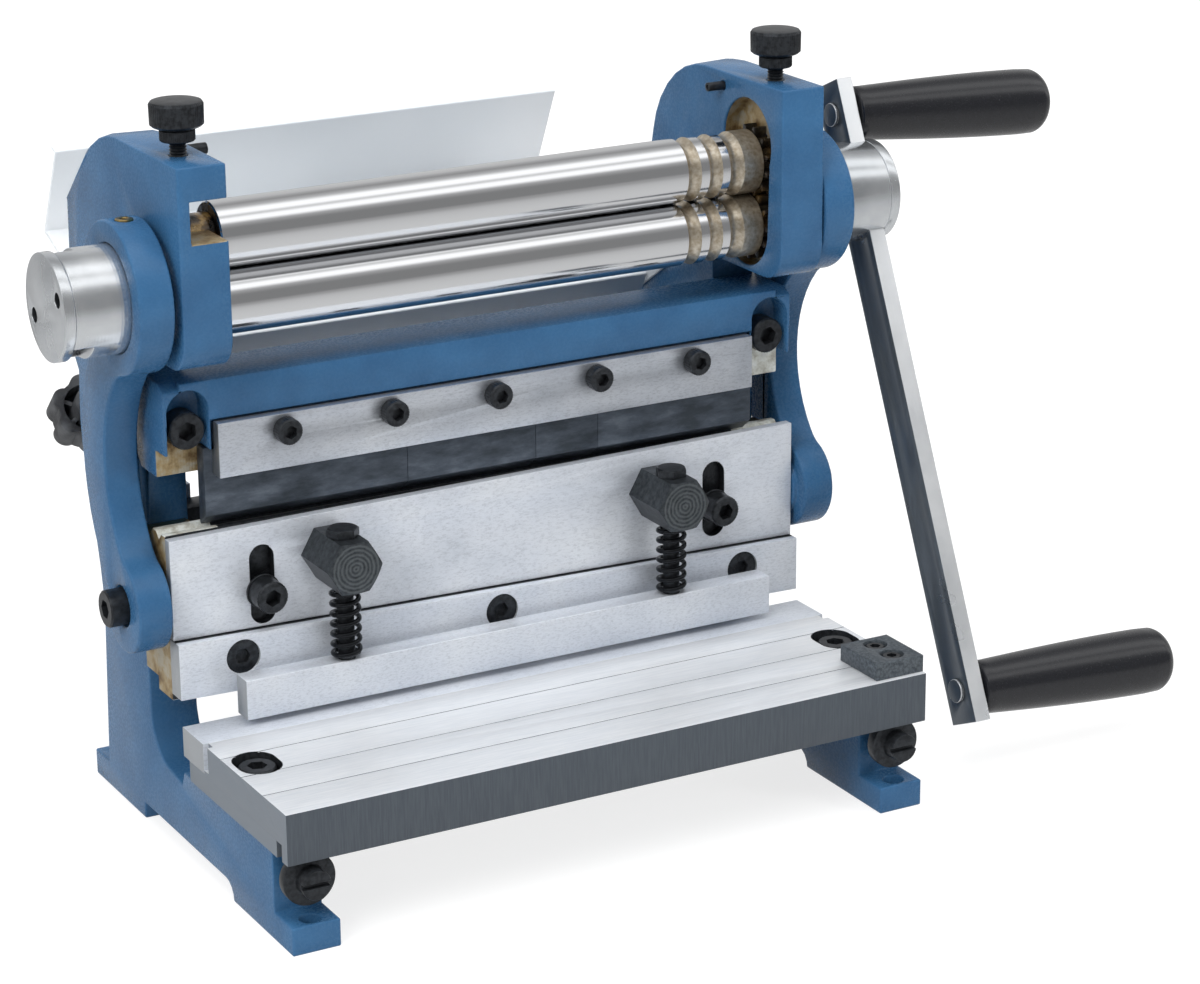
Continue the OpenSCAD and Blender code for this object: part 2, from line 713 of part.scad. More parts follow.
module left_pivot_screw() {
  left() pivot_screw();
}
module right_pivot_screw() {
  pivot_screw();
}
module oiler() {
  low = hub_d / 2 + 0.6;
  color("gold") difference() {
    rod_z(hub_z + low, arm_r + 0.2 - low, arm_in + arm_t / 2, axis_y, 3);
    rod_z(hub_z + low - 1, 20, arm_in + arm_t / 2, axis_y, 1.2);
  }
}
module left_oiler() {
  left() oiler();
}
module right_oiler() {
  oiler();
}

// Ram with its guide, front plate and upper blade
plate_screw = [89.6, ram_z + 35];
block_z = ram_z + 45.3;
hex_r = block_af / sqrt(3);
rod_place = -8;
block_front = -18.2;
v_y = punch_y + punch_t - 0.75;
module raked(z) {
  translate([0, 0, z]) rotate([0, rake, 0]) children();
}
module ram() {
  color(steel) difference() {
    slab(-span, 2 * span) polygon([[ram_y, ram_z], [ram_back, ram_z], [ram_back, ram_top - 1.5],
      [ram_back - 1.5, ram_top], [v_y + 2.6, ram_top], [v_y, ram_top - 2.6], [v_y - 2.6, ram_top],
      [ram_y, ram_top]]);
    both() {
      rod_y(ram_y - 1, ram_t - 1, plate_screw[0], plate_screw[1], m8 + screw_hole);
      rod_y(ram_y - 1, 8, spring_x, block_z, m8 + screw_hole);
      rod_x(span - 20, 21, pivot[0], pivot[1], m8);
    }
    for (x = blade_xs) rod_y(ram_y - 1, 10, x, blade_screw_z(x), 3 + screw_hole);
  }
}
module guide_bar() {
  color(black) {
    block([-inner + 0.3, guide_y, ram_top - 12], [inner - 0.3, guide_y + guide_t, ram_top - 1]);
    block([-inner + 0.3, guide_y, ram_z + 2], [inner - 0.3, guide_y + guide_t, ram_z + 13]);
    for (x = [-70, 0, 70]) block([x - 12, ram_back, ram_z + 2], [x + 12, guide_y + eps, ram_top - 1]);
    for (x = [-70, 0, 70]) block([x - 12, guide_y, ram_z + 12], [x + 12, guide_y + 6, ram_top - 11]);
  }
}
module slide_pads() {
  color("peru") both() block([inner + 1, ram_back, ram_z + 5], [span, ram_back + pad_t, ram_top - 3]);
}
module front_plate() {
  color(steel) difference() {
    intersection() {
      block([-span, plate_y, ram_z], [span, ram_y, ram_top + 5]);
      raked(plate_z) block([-span - 9, plate_y - 1, 0], [span + 9, ram_y + 1, 50]);
      rotate([0, -1, 0]) block([-span - 9, 0, 0], [span + 9, 30, ram_top + 1.15]);
    }
    both() {
      for (z = [-7.3, 12]) rod_y(plate_y - 1, plate_t + 2, plate_screw[0], plate_screw[1] + z, 4.5);
      block([plate_screw[0] - 4.5, plate_y - 1, plate_screw[1] - 7.3],
        [plate_screw[0] + 4.5, ram_y + 1, plate_screw[1] + 12]);
      rod_y(plate_y - 1, plate_t + 2, spring_x, block_z, m8 + screw_hole);
    }
  }
}
module plate_screws() {
  color(black) both() {
    face_front(plate_screw[0], plate_y - 0.9, plate_screw[1]) cap_screw(5.75, 8, m8, 14);
    difference() {
      rod_y(plate_y - 0.9, 0.9, plate_screw[0], plate_screw[1], 7);
      rod_y(plate_y - 2, 3, plate_screw[0], plate_screw[1], m8 + screw_hole);
    }
  }
}
blade_xs = [23.5 - span, 0, span - 23.5];
function blade_screw_z(x) = blade_z + blade_h * 0.6 - x * tan(rake);
module upper_blade() {
  color(steel) difference() {
    intersection() {
      block([-span, slide, table_top], [span, ram_y, ram_top]);
      raked(blade_z) block([-span - 9, -1, 0], [span + 9, 30, blade_h]);
    }
    for (x = blade_xs) face_front(x, slide + 0.8, blade_screw_z(x)) sunk_hole(6.25, 3 + screw_hole, 12);
  }
}
module upper_blade_screws() {
  color(black) for (x = blade_xs) face_front(x, slide + 0.8, blade_screw_z(x)) sunk_screw(6.25, 3, 15);
}
module hex_blocks() {
  color(black) both() difference() {
    union() {
      rod_y(block_front, 1.2, spring_x, block_z, block_af / 2);
      face_front(spring_x, plate_y, block_z)
        cylinder(h = plate_y - block_front - 1.1, r = hex_r, $fn = 6);
      rod_y(plate_y - 1, plate_t + 6, spring_x, block_z, m8);
    }
    rod_z(block_z - hex_r - 1, 2 * hex_r + 2, spring_x, rod_place, 3 + fit);
  }
}

// Spring loaded pressure bar
bar_z = table_top + 2.4;
bar_top = bar_z + hold_bar[2];
module hold_down_bar() {
  color(steel) difference() {
    block([-hold_bar[0] / 2, rod_place - 3.85, bar_z],
      [hold_bar[0] / 2, rod_place - 3.85 + hold_bar[1], bar_top]);
    both() rod_z(bar_z + 2, 20, spring_x, rod_place, 3 + screw_hole);
  }
}
module hold_down_rods() {
  top = block_z + block_af / 2 + slide;
  color(black) both() {
    rod_z(bar_z + 2.2, top - bar_z - 2.1, spring_x, rod_place, 3);
    translate([spring_x, rod_place, top]) cylinder(h = 3, r = 5.77, $fn = 6);
  }
}
coil_r = (spring_d - wire_d) / 2;
coil_low = bar_top + 0.1;
coil_len = block_z - block_af / 2 - bar_top - 0.2;
steps = 8 * curls;
coil_rise = (coil_len - wire_d) / steps;
function coil_dir(i) = [-coil_r * sin(45 * i), coil_r * cos(45 * i), coil_rise * 8 / (2 * PI)];
function coil_at(i) =
  [coil_r * cos(45 * i), coil_r * sin(45 * i), coil_low + wire_d / 2 + coil_rise * i];
// The wire's centre line, with both ends running straight for one wire diameter
coil_path = concat(
  [[coil_at(0) - wire_d * [0, 1, 0], 0]],
  [for (i = [0:steps]) [coil_at(i), i]],
  [[coil_at(steps) + wire_d * [0, 1, 0], steps]]);
function ring_point(c, k) =
  let (t = coil_dir(c[1]) / norm(coil_dir(c[1])), e = [cos(45 * c[1]), sin(45 * c[1]), 0])
  c[0] + wire_d / 2 * (cos(60 * k) * e + sin(60 * k) * cross(t, e));
coil_gap = min([for (i = [0:steps - 6]) for (j = [i + 6:steps]) norm(coil_at(i) - coil_at(j))]) - wire_d;
echo(least_gap_of_a_spring_to_itself = coil_gap);
module spring() {
  n = len(coil_path);
  color("#26282b") translate([spring_x, rod_place, 0]) polyhedron(
    [for (c = coil_path) for (k = [0:5]) ring_point(c, k)],
    concat(
      [for (i = [0:n - 2]) for (k = [0:5]) [6 * i + k, 6 * i + (k + 1) % 6, 6 * (i + 1) + k]],
      [for (i = [0:n - 2]) for (k = [0:5])
        [6 * i + (k + 1) % 6, 6 * (i + 1) + (k + 1) % 6, 6 * (i + 1) + k]],
      [for (k = [1:4]) [0, k + 1, k]],
      [for (k = [1:4]) [6 * (n - 1), 6 * (n - 1) + k, 6 * (n - 1) + k + 1]]));
}
module left_spring() {
  left() spring();
}
module right_spring() {
  spring();
}

// Rear roll in blocks that the star knobs push up along their slots
module rear_blocks() {
  color(black) both() along_knob() difference() {
    translate([inner + 0.1, -block_w / 2, -block_w / 2]) cube([wall - skin - 0.2, block_w, block_w]);
    translate([inner - 1, 0, 0]) rotate([0, 90, 0]) cylinder(h = wall, r = journal_d / 2 + fit);
  }
}
module rear_roll() {
  color("lightgray") {
    rod_x(-roll_end, 2 * roll_end, rear_y, rear_z, roll_r);
    rod_x(-outer + skin + 0.6, 2 * (outer - skin - 0.6), rear_y, rear_z, journal_d / 2);
  }
}
module knob_screw() {
  color(black) along_knob() translate([knob_x, 0, -knob_far])
    cylinder(h = knob_far - block_w / 2 - slide, r = m8);
}
// Six-lobed knob with a hollow underside and ribs
module star_knob() {
  color("#202123") along_knob() translate([knob_x, 0, -knob_far - 5]) difference() {
    union() {
      difference() {
        union() {
          cylinder(h = 11, r = 11);
          for (a = [30:60:330]) rotate(a) translate([9, 0, 0]) cylinder(h = 11, r = 4.4);
        }
        translate([0, 0, 2.5]) cylinder(h = 11, r = 9.2);
      }
      cylinder(h = 15, r = knob_hub);
      for (a = [30:60:330]) rotate(a) translate([5, -0.8, 1]) cube([5, 1.6, 8]);
    }
    translate([0, 0, 5]) cylinder(h = 30, r = m8 + screw_hole);
  }
}
module left_knob_screw() {
  left() knob_screw();
}
module right_knob_screw() {
  knob_screw();
}
module left_star_knob() {
  left() star_knob();
}
module right_star_knob() {
  star_knob();
}

left_side_frame();
right_side_frame();
cross_beam();
beam_screws();
clamp_bar();
clamp_screws();
punch_segments();
crank_bushes();
gibs();
gib_screws();
roll_pins();
rear_guard();
guard_screws();
table_screws();
table();
lower_blade_bar();
lower_blade_screws();
stop_block();
stop_screws();
left_adjuster();
right_adjuster();
lower_roll();
crank_gear();
left_hub();
right_hub();
hub_caps();
lever();
grip_spindles();
upper_bushes();
upper_roll();
upper_gear();
left_thumbscrew();
right_thumbscrew();
left_arm();
right_arm();
left_pivot_screw();
right_pivot_screw();
left_oiler();
right_oiler();
ram();
guide_bar();
slide_pads();
front_plate();
plate_screws();
upper_blade();
upper_blade_screws();
hex_blocks();
hold_down_bar();
hold_down_rods();
left_spring();
right_spring();
upper_grip();
lower_grip();
rear_blocks();
rear_roll();
left_knob_screw();
right_knob_screw();
left_star_knob();
right_star_knob();
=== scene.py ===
import json
import math
import bpy
from mathutils import Euler, Matrix, Vector

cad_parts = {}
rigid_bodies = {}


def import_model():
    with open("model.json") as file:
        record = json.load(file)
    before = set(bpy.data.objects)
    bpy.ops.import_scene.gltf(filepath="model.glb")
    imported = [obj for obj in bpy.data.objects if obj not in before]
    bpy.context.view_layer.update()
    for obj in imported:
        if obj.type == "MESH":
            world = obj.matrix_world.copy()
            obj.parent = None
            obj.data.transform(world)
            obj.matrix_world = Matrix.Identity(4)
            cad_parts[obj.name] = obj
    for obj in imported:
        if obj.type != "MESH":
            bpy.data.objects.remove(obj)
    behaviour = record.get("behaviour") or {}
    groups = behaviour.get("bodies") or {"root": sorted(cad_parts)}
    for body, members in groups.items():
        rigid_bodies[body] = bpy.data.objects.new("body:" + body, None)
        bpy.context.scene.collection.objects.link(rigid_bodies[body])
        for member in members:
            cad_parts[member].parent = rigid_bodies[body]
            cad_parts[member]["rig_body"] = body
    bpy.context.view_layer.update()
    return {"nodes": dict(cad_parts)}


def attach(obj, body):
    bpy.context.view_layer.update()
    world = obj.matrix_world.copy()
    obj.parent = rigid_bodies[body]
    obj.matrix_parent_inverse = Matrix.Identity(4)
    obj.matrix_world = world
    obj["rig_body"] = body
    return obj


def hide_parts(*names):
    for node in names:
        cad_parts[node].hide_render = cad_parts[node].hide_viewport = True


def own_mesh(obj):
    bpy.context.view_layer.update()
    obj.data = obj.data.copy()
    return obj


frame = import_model()
mm = 0.001


# Side frames
# Two grey iron castings, sprayed with blue enamel. The mould and the paint round their corners
# softly. The gear pocket and the bearing notch are milled through the paint to raw iron.
def linear(code, alpha=1):
    """An sRGB hex colour as the linear values that a shader takes."""
    parts = [int(code[i:i + 2], 16) / 255 for i in (1, 3, 5)]
    return [p / 12.92 if p <= 0.04045 else ((p + 0.055) / 1.055) ** 2.4 for p in parts] + [alpha]


def add(tree, kind, settings=None, links=None):
    """Adds a node, with its settings and with the outputs that feed its inputs."""
    made = tree.nodes.new("ShaderNode" + kind)
    for name, value in (settings or {}).items():
        if name == "stops":
            ramp = made.color_ramp.elements
            while len(ramp) < len(value):
                ramp.new(0.5)
            for stop, (position, code) in zip(ramp, value):
                stop.position, stop.color = position, linear(code)
        elif isinstance(name, str) and hasattr(made, name):
            setattr(made, name, value)
        else:
            made.inputs[name].default_value = linear(value) if isinstance(value, str) else value
    for name, source in (links or {}).items():
        tree.links.new(source, made.inputs[name])
    return made


def start_material(name, **values):
    """A new material, its shader with plain values set, and the place that its patterns read."""
    made = bpy.data.materials.new(name)
    made.use_nodes = True
    tree = made.node_tree
    shader = tree.nodes["Principled BSDF"]
    for socket, value in values.items():
        shader.inputs[socket.replace("_", " ")].default_value = \
            linear(value) if isinstance(value, str) else value
    return made, tree, shader, add(tree, "TexCoord").outputs["Object"]


def feed(tree, shader, **sources):
    """Joins outputs to the shader's sockets."""
    for socket, source in sources.items():
        tree.links.new(source, shader.inputs[socket.replace("_", " ")])


# Gloss enamel, sprayed: a hard smooth film with orange peel over the slow waves of the casting.
# A pattern's scale is 1000 over the size of its marks in millimetres: waves of 14, peel of 1.
enamel, tree, shader, place = start_material("sprayed_blue_enamel", IOR=1.5,
                                             Specular_IOR_Level=0.24)
waves = add(tree, "TexNoise", {"Scale": 70, "Detail": 3, "Roughness": 0.5}, {"Vector": place})
peel = add(tree, "TexNoise", {"Scale": 950, "Detail": 2, "Roughness": 0.6}, {"Vector": place})
film = add(tree, "ValToRGB", {"stops": [(0.3, "#2d5275"), (0.55, "#31587c"), (0.8, "#355e83")]},
           {"Fac": waves.outputs["Fac"]})
gloss = add(tree, "MapRange", {"From Min": 0.35, "From Max": 0.7, "To Min": 0.22, "To Max": 0.34},
            {"Value": peel.outputs["Fac"]})
slow = add(tree, "Bump", {"Strength": 0.12, "Distance": 0.001}, {"Height": waves.outputs["Fac"]})
fine = add(tree, "Bump", {"Strength": 0.03, "Distance": 0.0002},
           {"Height": peel.outputs["Fac"], "Normal": slow.outputs["Normal"]})
feed(tree, shader, Base_Color=film.outputs["Color"], Roughness=gloss.outputs["Result"],
     Normal=fine.outputs["Normal"])

# Raw grey iron, milled: dull tan-grey metal with the cutter's lines, and brown stains of 6 mm
# from oil and rust
raw_iron, tree, shader, place = start_material("milled_raw_iron", Metallic=0.55, Roughness=0.5)
stains = add(tree, "TexNoise", {"Scale": 160, "Detail": 5, "Roughness": 0.6}, {"Vector": place})
cutter = add(tree, "TexWave", {"Scale": 300, "Distortion": 1.5, "Detail": 2}, {"Vector": place})
tones = add(tree, "ValToRGB", {"stops": [(0.36, "#6b5436"), (0.5, "#9d8a66"), (0.62, "#a9a291")]},
            {"Fac": stains.outputs["Fac"]})
lines = add(tree, "Bump", {"Strength": 0.25, "Distance": 0.0002}, {"Height": cutter.outputs["Fac"]})
feed(tree, shader, Base_Color=tones.outputs["Color"], Normal=lines.outputs["Normal"])

# Pitted steel: a light grey surface that damp has etched, with browner pits of 4 mm
pitted, tree, shader, place = start_material("pitted_steel", Metallic=0.2, Roughness=0.55)
etched = add(tree, "TexNoise", {"Scale": 260, "Detail": 5, "Roughness": 0.65}, {"Vector": place})
tones = add(tree, "ValToRGB", {"stops": [(0.34, "#97948a"), (0.5, "#bdbfb8"), (0.66, "#d6dad8")]},
            {"Fac": etched.outputs["Fac"]})
pits = add(tree, "Bump", {"Strength": 0.3, "Distance": 0.0003}, {"Height": etched.outputs["Fac"]})
feed(tree, shader, Base_Color=tones.outputs["Color"], Normal=pits.outputs["Normal"])


def pick(piece):
    """Makes the piece the only one that the next operator acts on."""
    bpy.ops.object.select_all(action='DESELECT')
    piece.select_set(True)
    bpy.context.view_layer.objects.active = piece


def shade(piece, degrees=34):
    """Shades a piece smooth, apart from its edges sharper than so many degrees."""
    pick(piece)
    bpy.ops.object.shade_smooth_by_angle(angle=math.radians(degrees))


def cover(piece, material, body, slot, *nodes):
    """Gives a finished piece its material and body, and hides the nodes it stands for. Slot is
    unused.
    """
    piece.data.materials.clear()
    piece.data.materials.append(material)
    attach(piece, body)
    if nodes:
        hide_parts(*nodes)
    return piece


def dress(node, name, material, slot, rounding, steps=2, limit=30, clamp=False):
    """A merged copy of a node that stands for it, its sharp corners rounded in millimetres."""
    piece = bpy.data.objects.new(name, frame["nodes"][node].data.copy())
    bpy.context.collection.objects.link(piece)
    pick(piece)
    bpy.ops.object.mode_set(mode='EDIT')
    bpy.ops.mesh.select_all(action='SELECT')
    bpy.ops.mesh.remove_doubles(threshold=0.00001)
    bpy.ops.mesh.dissolve_limited(angle_limit=math.radians(0.4))
    bpy.ops.object.mode_set(mode='OBJECT')
    bevel = piece.modifiers.new("rounding", 'BEVEL')
    bevel.width, bevel.segments = rounding * mm, steps
    bevel.limit_method, bevel.angle_limit = 'ANGLE', math.radians(limit)
    bevel.use_clamp_overlap = clamp
    bpy.ops.object.modifier_apply(modifier=bevel.name)
    shade(piece)
    return cover(piece, material, frame["nodes"][node]["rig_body"], slot, node)


def paint(piece, material, chosen, cuts=()):
    """Cuts a piece at places along an axis, and paints the faces chosen by centre and normal."""
    pick(piece)
    bpy.ops.object.mode_set(mode='EDIT')
    for axis, at in cuts:
        bpy.ops.mesh.select_all(action='SELECT')
        normal = [float(axis == a) for a in "xyz"]
        bpy.ops.mesh.bisect(plane_co=[at * mm * a for a in normal], plane_no=normal)
    bpy.ops.object.mode_set(mode='OBJECT')
    piece.data.materials.append(material)
    for face in piece.data.polygons:
        if chosen(face.center / mm, face.normal):
            face.material_index = len(piece.data.materials) - 1


# The bearing notch's floor and rear wall are bare. All sizes are in millimetres.
notch_low, notch_top = 221.8, 236.3
left_casting = dress("left_side_frame", "left_casting", enamel, "blue_enamel", 0.7, 3)
paint(left_casting, raw_iron, lambda c, n: c.x > -118.2 and c.y < 21 and notch_low < c.z < notch_top
      and (n.z > 0.7 or c.y > 19))
# So are the walls of the pocket that the gears turn in, on the axes of the two front rolls
roll_y, pocket_r, pocket_from, pocket_to, pocket_low, pocket_top = 8.5, 18, 105.7, 111.7, 179, 242
right_casting = dress("right_side_frame", "right_casting", enamel, "blue_enamel", 0.7, 3)
paint(right_casting, raw_iron,
      lambda c, n: pocket_from < c.x < pocket_to and abs(c.y - roll_y) < pocket_r
      and pocket_low < c.z < pocket_top)

# Cross beam
# A cast bar bolted across the fronts of the columns, with a milled seat that takes the punches. The
# mill ran through under both ends: the left one has browned there, and the right one is pitted.
beam = dress("cross_beam", "beam_casting", enamel, "blue_enamel", 0.5, 2)
milled_from, milled_to, milled_low, milled_top = 105.8, 121, 135.2, 151


def milled(c, n):
    """Whether a face is one that the mill bared under an end of the beam."""
    return abs(c.x) > milled_from - 0.2 and milled_low < c.z < milled_top and abs(n.x) < 0.5 \
        and 10 < c.y < 25


paint(beam, raw_iron, lambda c, n: c.x < 0 and milled(c, n),
      [("x", -milled_to), ("x", -milled_from), ("x", milled_from), ("x", milled_to),
       ("z", milled_top)])
paint(beam, pitted, lambda c, n: c.x > 0 and milled(c, n))

# Clamp bar and punches
# A ground steel bar and five M5 socket screws hold four punches of blued tool steel in the beam's
# seat. The punches stand side by side, with hairline joints between them.

# Ground steel: pale, with grit lines of 0.7 mm drawn out along the wheel's path, small dark specks
# and cloudy patches of 33 mm. Sawn ends are greyer.
ground_steel, tree, shader, place = start_material("ground_steel", Metallic=0.45)
grind = add(tree, "Mapping", {"Scale": (0.06, 1, 1)}, {"Vector": place})
grit = add(tree, "TexNoise", {"Scale": 1500, "Detail": 2, "Roughness": 0.7},
           {"Vector": grind.outputs[0]})
clouds = add(tree, "TexNoise", {"Scale": 30, "Detail": 4, "Roughness": 0.55}, {"Vector": place})
comb = add(tree, "Mapping", {"Scale": (0.35, 1, 1)}, {"Vector": place})
specks = add(tree, "TexNoise", {"Scale": 1700, "Detail": 4, "Roughness": 0.8},
             {"Vector": comb.outputs[0]})
facing = add(tree, "SeparateXYZ", None, {0: add(tree, "TexCoord").outputs["Normal"]})
across = add(tree, "Math", {"operation": 'ABSOLUTE'}, {0: facing.outputs["X"]})
sawn = add(tree, "Math", {"operation": 'GREATER_THAN', 1: 0.75}, {0: across.outputs[0]})
tones = add(tree, "ValToRGB", {"stops": [(0.3, "#c6ccd5"), (0.5, "#d3d8e0"), (0.75, "#dde1e6")]},
            {"Fac": clouds.outputs["Fac"]})
pits = add(tree, "ValToRGB", {"stops": [(0.36, "#8a8e95"), (0.52, "#ffffff")]},
           {"Fac": specks.outputs["Fac"]})
mixed = add(tree, "Mix", {"data_type": 'RGBA', "blend_type": 'MULTIPLY', 0: 0.28},
            {6: tones.outputs["Color"], 7: pits.outputs["Color"]})
ends = add(tree, "Mix", {"data_type": 'RGBA', 7: "#979b9f"},
           {0: sawn.outputs[0], 6: mixed.outputs[2]})
dull = add(tree, "MapRange", {"From Min": 0.3, "From Max": 0.7, "To Min": 0.36, "To Max": 0.5},
           {"Value": grit.outputs["Fac"]})
scratch = add(tree, "Bump", {"Strength": 0.2, "Distance": 0.0002}, {"Height": grit.outputs["Fac"]})
feed(tree, shader, Base_Color=ends.outputs[2], Roughness=dull.outputs["Result"],
     Normal=scratch.outputs["Normal"])

# The same steel, rubbed brighter by hands
bar_steel = ground_steel.copy()
bar_steel.name = "handled_ground_steel"
bar_steel.node_tree.nodes["Principled BSDF"].inputs["Metallic"].default_value = 0.9

# Blued tool steel: a thin dark oxide, nearly black, with grey rub marks of 8 mm where sheet slid by
blued, tree, shader, place = start_material("blued_tool_steel", Metallic=0.6, Roughness=0.42)
streak = add(tree, "Mapping", {"Scale": (0.35, 1, 1)}, {"Vector": place})
rubs = add(tree, "TexNoise", {"Scale": 130, "Detail": 6, "Roughness": 0.65},
           {"Vector": streak.outputs[0]})
tones = add(tree, "ValToRGB", {"stops": [(0.38, "#3a4149"), (0.55, "#505863"), (0.72, "#6c7580")]},
            {"Fac": rubs.outputs["Fac"]})
wear = add(tree, "Bump", {"Strength": 0.15, "Distance": 0.0002}, {"Height": rubs.outputs["Fac"]})
feed(tree, shader, Base_Color=tones.outputs["Color"], Normal=wear.outputs["Normal"])

# Black oxide on screws: a satin charcoal that shines grey where light strikes it
black_oxide, tree, shader, place = start_material("black_oxide_steel", Metallic=0.7, Roughness=0.36)
soot = add(tree, "TexNoise", {"Scale": 600, "Detail": 3, "Roughness": 0.6}, {"Vector": place})
tones = add(tree, "ValToRGB", {"stops": [(0.35, "#26282b"), (0.6, "#383b3f")]},
            {"Fac": soot.outputs["Fac"]})
skin = add(tree, "Bump", {"Strength": 0.2, "Distance": 0.0002}, {"Height": soot.outputs["Fac"]})
feed(tree, shader, Base_Color=tones.outputs["Color"], Normal=skin.outputs["Normal"])

dress("clamp_bar", "clamp_bar_ground", bar_steel, "ground_steel", 0.3)
dress("punch_segments", "punches", blued, "blued_tool_steel", 0.15)


def turn(name, rings, sides=64):
    """A piece turned about the Z axis, through rings of (height, radius) in millimetres."""
    bpy.ops.object.select_all(action='DESELECT')
    bpy.ops.mesh.primitive_circle_add(vertices=sides, radius=rings[0][1] * mm, fill_type='NGON',
                                      location=(0, 0, rings[0][0] * mm))
    piece = bpy.context.object
    piece.name = name
    bpy.ops.object.mode_set(mode='EDIT')
    bpy.ops.mesh.select_all(action='SELECT')
    for low, high in zip(rings, rings[1:]):
        bpy.ops.mesh.extrude_region_move(
            TRANSFORM_OT_translate={"value": (0, 0, (high[0] - low[0]) * mm)})
        bpy.ops.transform.resize(value=(high[1] / low[1], high[1] / low[1], 1))
    bpy.ops.mesh.select_all(action='SELECT')
    bpy.ops.mesh.normals_make_consistent(inside=False)
    bpy.ops.object.mode_set(mode='OBJECT')
    bpy.ops.object.transform_apply(location=True)
    return piece


def knurl(piece, low, high, radius, depth, sides=64):
    """Presses every other line of a turned rim in, between two heights."""
    for v in piece.data.vertices:
        away = math.hypot(v.co.x, v.co.y) / mm
        line = round(math.atan2(v.co.y, v.co.x) / math.tau * sides)
        if line % 2 and low < v.co.z / mm < high and away > radius:
            v.co.x *= 1 - depth / away
            v.co.y *= 1 - depth / away


def recess(piece, sides, radius, top, depth, x=0, y=0):
    """Cuts a straight-sided hole down from a height, such as a socket with six sides."""
    bpy.ops.object.select_all(action='DESELECT')
    bpy.ops.mesh.primitive_cylinder_add(vertices=sides, radius=radius * mm, depth=2 * depth * mm,
                                        location=(x * mm, y * mm, top * mm))
    cutter = bpy.context.object
    cut = piece.modifiers.new("recess", 'BOOLEAN')
    cut.object, cut.solver = cutter, 'EXACT'
    pick(piece)
    bpy.ops.object.modifier_apply(modifier=cut.name)
    bpy.data.objects.remove(cutter)


def socket_screw(name, head, height, shank, length, teeth=36):
    """A socket head screw: its head stands on the XY plane and its shank hangs below."""
    piece = turn(name, [(-length, shank - 0.3), (0.3 - length, shank), (0, shank), (0, head - 0.25),
                        (0.25, head), (height - 0.6, head), (height, head - 0.6)], 2 * teeth)
    knurl(piece, 0.1, height - 0.4, head * 0.9, 0.14, 2 * teeth)
    recess(piece, 6, head * 0.53, height, height * 0.5)
    shade(piece)
    return piece


def put(piece, name, at, turned=(0, 0, 0)):
    """A copy of a piece with a mesh of its own, turned by degrees and moved to a place."""
    made = bpy.data.objects.new(name, piece.data.copy())
    bpy.context.collection.objects.link(made)
    made.data.transform(Matrix.Translation(Vector(at) * mm)
                        @ Euler([math.radians(a) for a in turned]).to_matrix().to_4x4())
    return made


def fit_screws(node, body, screw, stands):
    """A copy of a screw for each place and turn in degrees. The first stands for the set's node."""
    for i, (at, turned) in enumerate(stands):
        cover(put(screw, f"{node[:-1]}_{i}", at, turned), black_oxide, body, "black_oxide",
              *([] if i else [node]))
    bpy.data.objects.remove(screw)


# Each size of socket screw: the head's radius and height, and the shank's radius
m4, m5, m8 = (3.6, 3.4, 2), (4.6, 4.9, 2.5), (6.5, 8, 4)
fit_screws("clamp_screws", "frame", socket_screw("m5_screw", *m5, 16, 30),
           [((40 * i - 80, 1.95, 149.2), (90, 12 * i, 0)) for i in range(5)])
# The beam's screws stand in the middle of each frame's wall
wall_x = 113.65
fit_screws("beam_screws", "frame", socket_screw("m8_screw", *m8, 33),
           [((-wall_x, 14.3, 152.4), (90, 0, 0)), ((wall_x, 14.3, 152.4), (90, 20, 0))])

# Table and lower blade
# A milled steel table on the rails, with scribed lines on its ground top. It slides to set the
# blades' gap. The lower blade lies in its rear edge under three countersunk screws.

# Milled steel, ground on top: a pale top with grit of 0.7 mm, a dark front with the cutter's
# upright marks of 0.5 mm, and plain grey sides
table_steel, tree, shader, place = start_material("milled_table_steel", Metallic=0.4)
facing = add(tree, "SeparateXYZ", None, {0: add(tree, "TexCoord").outputs["Normal"]})
up = add(tree, "Math", {"operation": 'GREATER_THAN', 1: 0.6}, {0: facing.outputs["Z"]})
fwd = add(tree, "Math", {"operation": 'LESS_THAN', 1: -0.6}, {0: facing.outputs["Y"]})
grind = add(tree, "Mapping", {"Scale": (0.06, 1, 1)}, {"Vector": place})
grit = add(tree, "TexNoise", {"Scale": 1500, "Detail": 2, "Roughness": 0.7},
           {"Vector": grind.outputs[0]})
cutter = add(tree, "Mapping", {"Scale": (1, 0.05, 0.05)}, {"Vector": place})
marks = add(tree, "TexNoise", {"Scale": 2200, "Detail": 2, "Roughness": 0.6},
            {"Vector": cutter.outputs[0]})
top = add(tree, "ValToRGB", {"stops": [(0.3, "#ced2d7"), (0.7, "#dddfe2")]},
          {"Fac": grit.outputs["Fac"]})
front = add(tree, "ValToRGB", {"stops": [(0.35, "#494f57"), (0.65, "#51585f")]},
            {"Fac": marks.outputs["Fac"]})
side = add(tree, "Mix", {"data_type": 'RGBA', 6: "#767d85"},
           {0: fwd.outputs[0], 7: front.outputs["Color"]})
both = add(tree, "Mix", {"data_type": 'RGBA'},
           {0: up.outputs[0], 6: side.outputs[2], 7: top.outputs["Color"]})
dull = add(tree, "MapRange", {"To Min": 0.55, "To Max": 0.4}, {"Value": up.outputs[0]})
ridges = add(tree, "Mix", {"data_type": 'FLOAT'},
             {0: up.outputs[0], 2: marks.outputs["Fac"], 3: grit.outputs["Fac"]})
rows = add(tree, "Bump", {"Strength": 0.15, "Distance": 0.0002}, {"Height": ridges.outputs[0]})
feed(tree, shader, Base_Color=both.outputs[2], Roughness=dull.outputs["Result"],
     Normal=rows.outputs["Normal"])
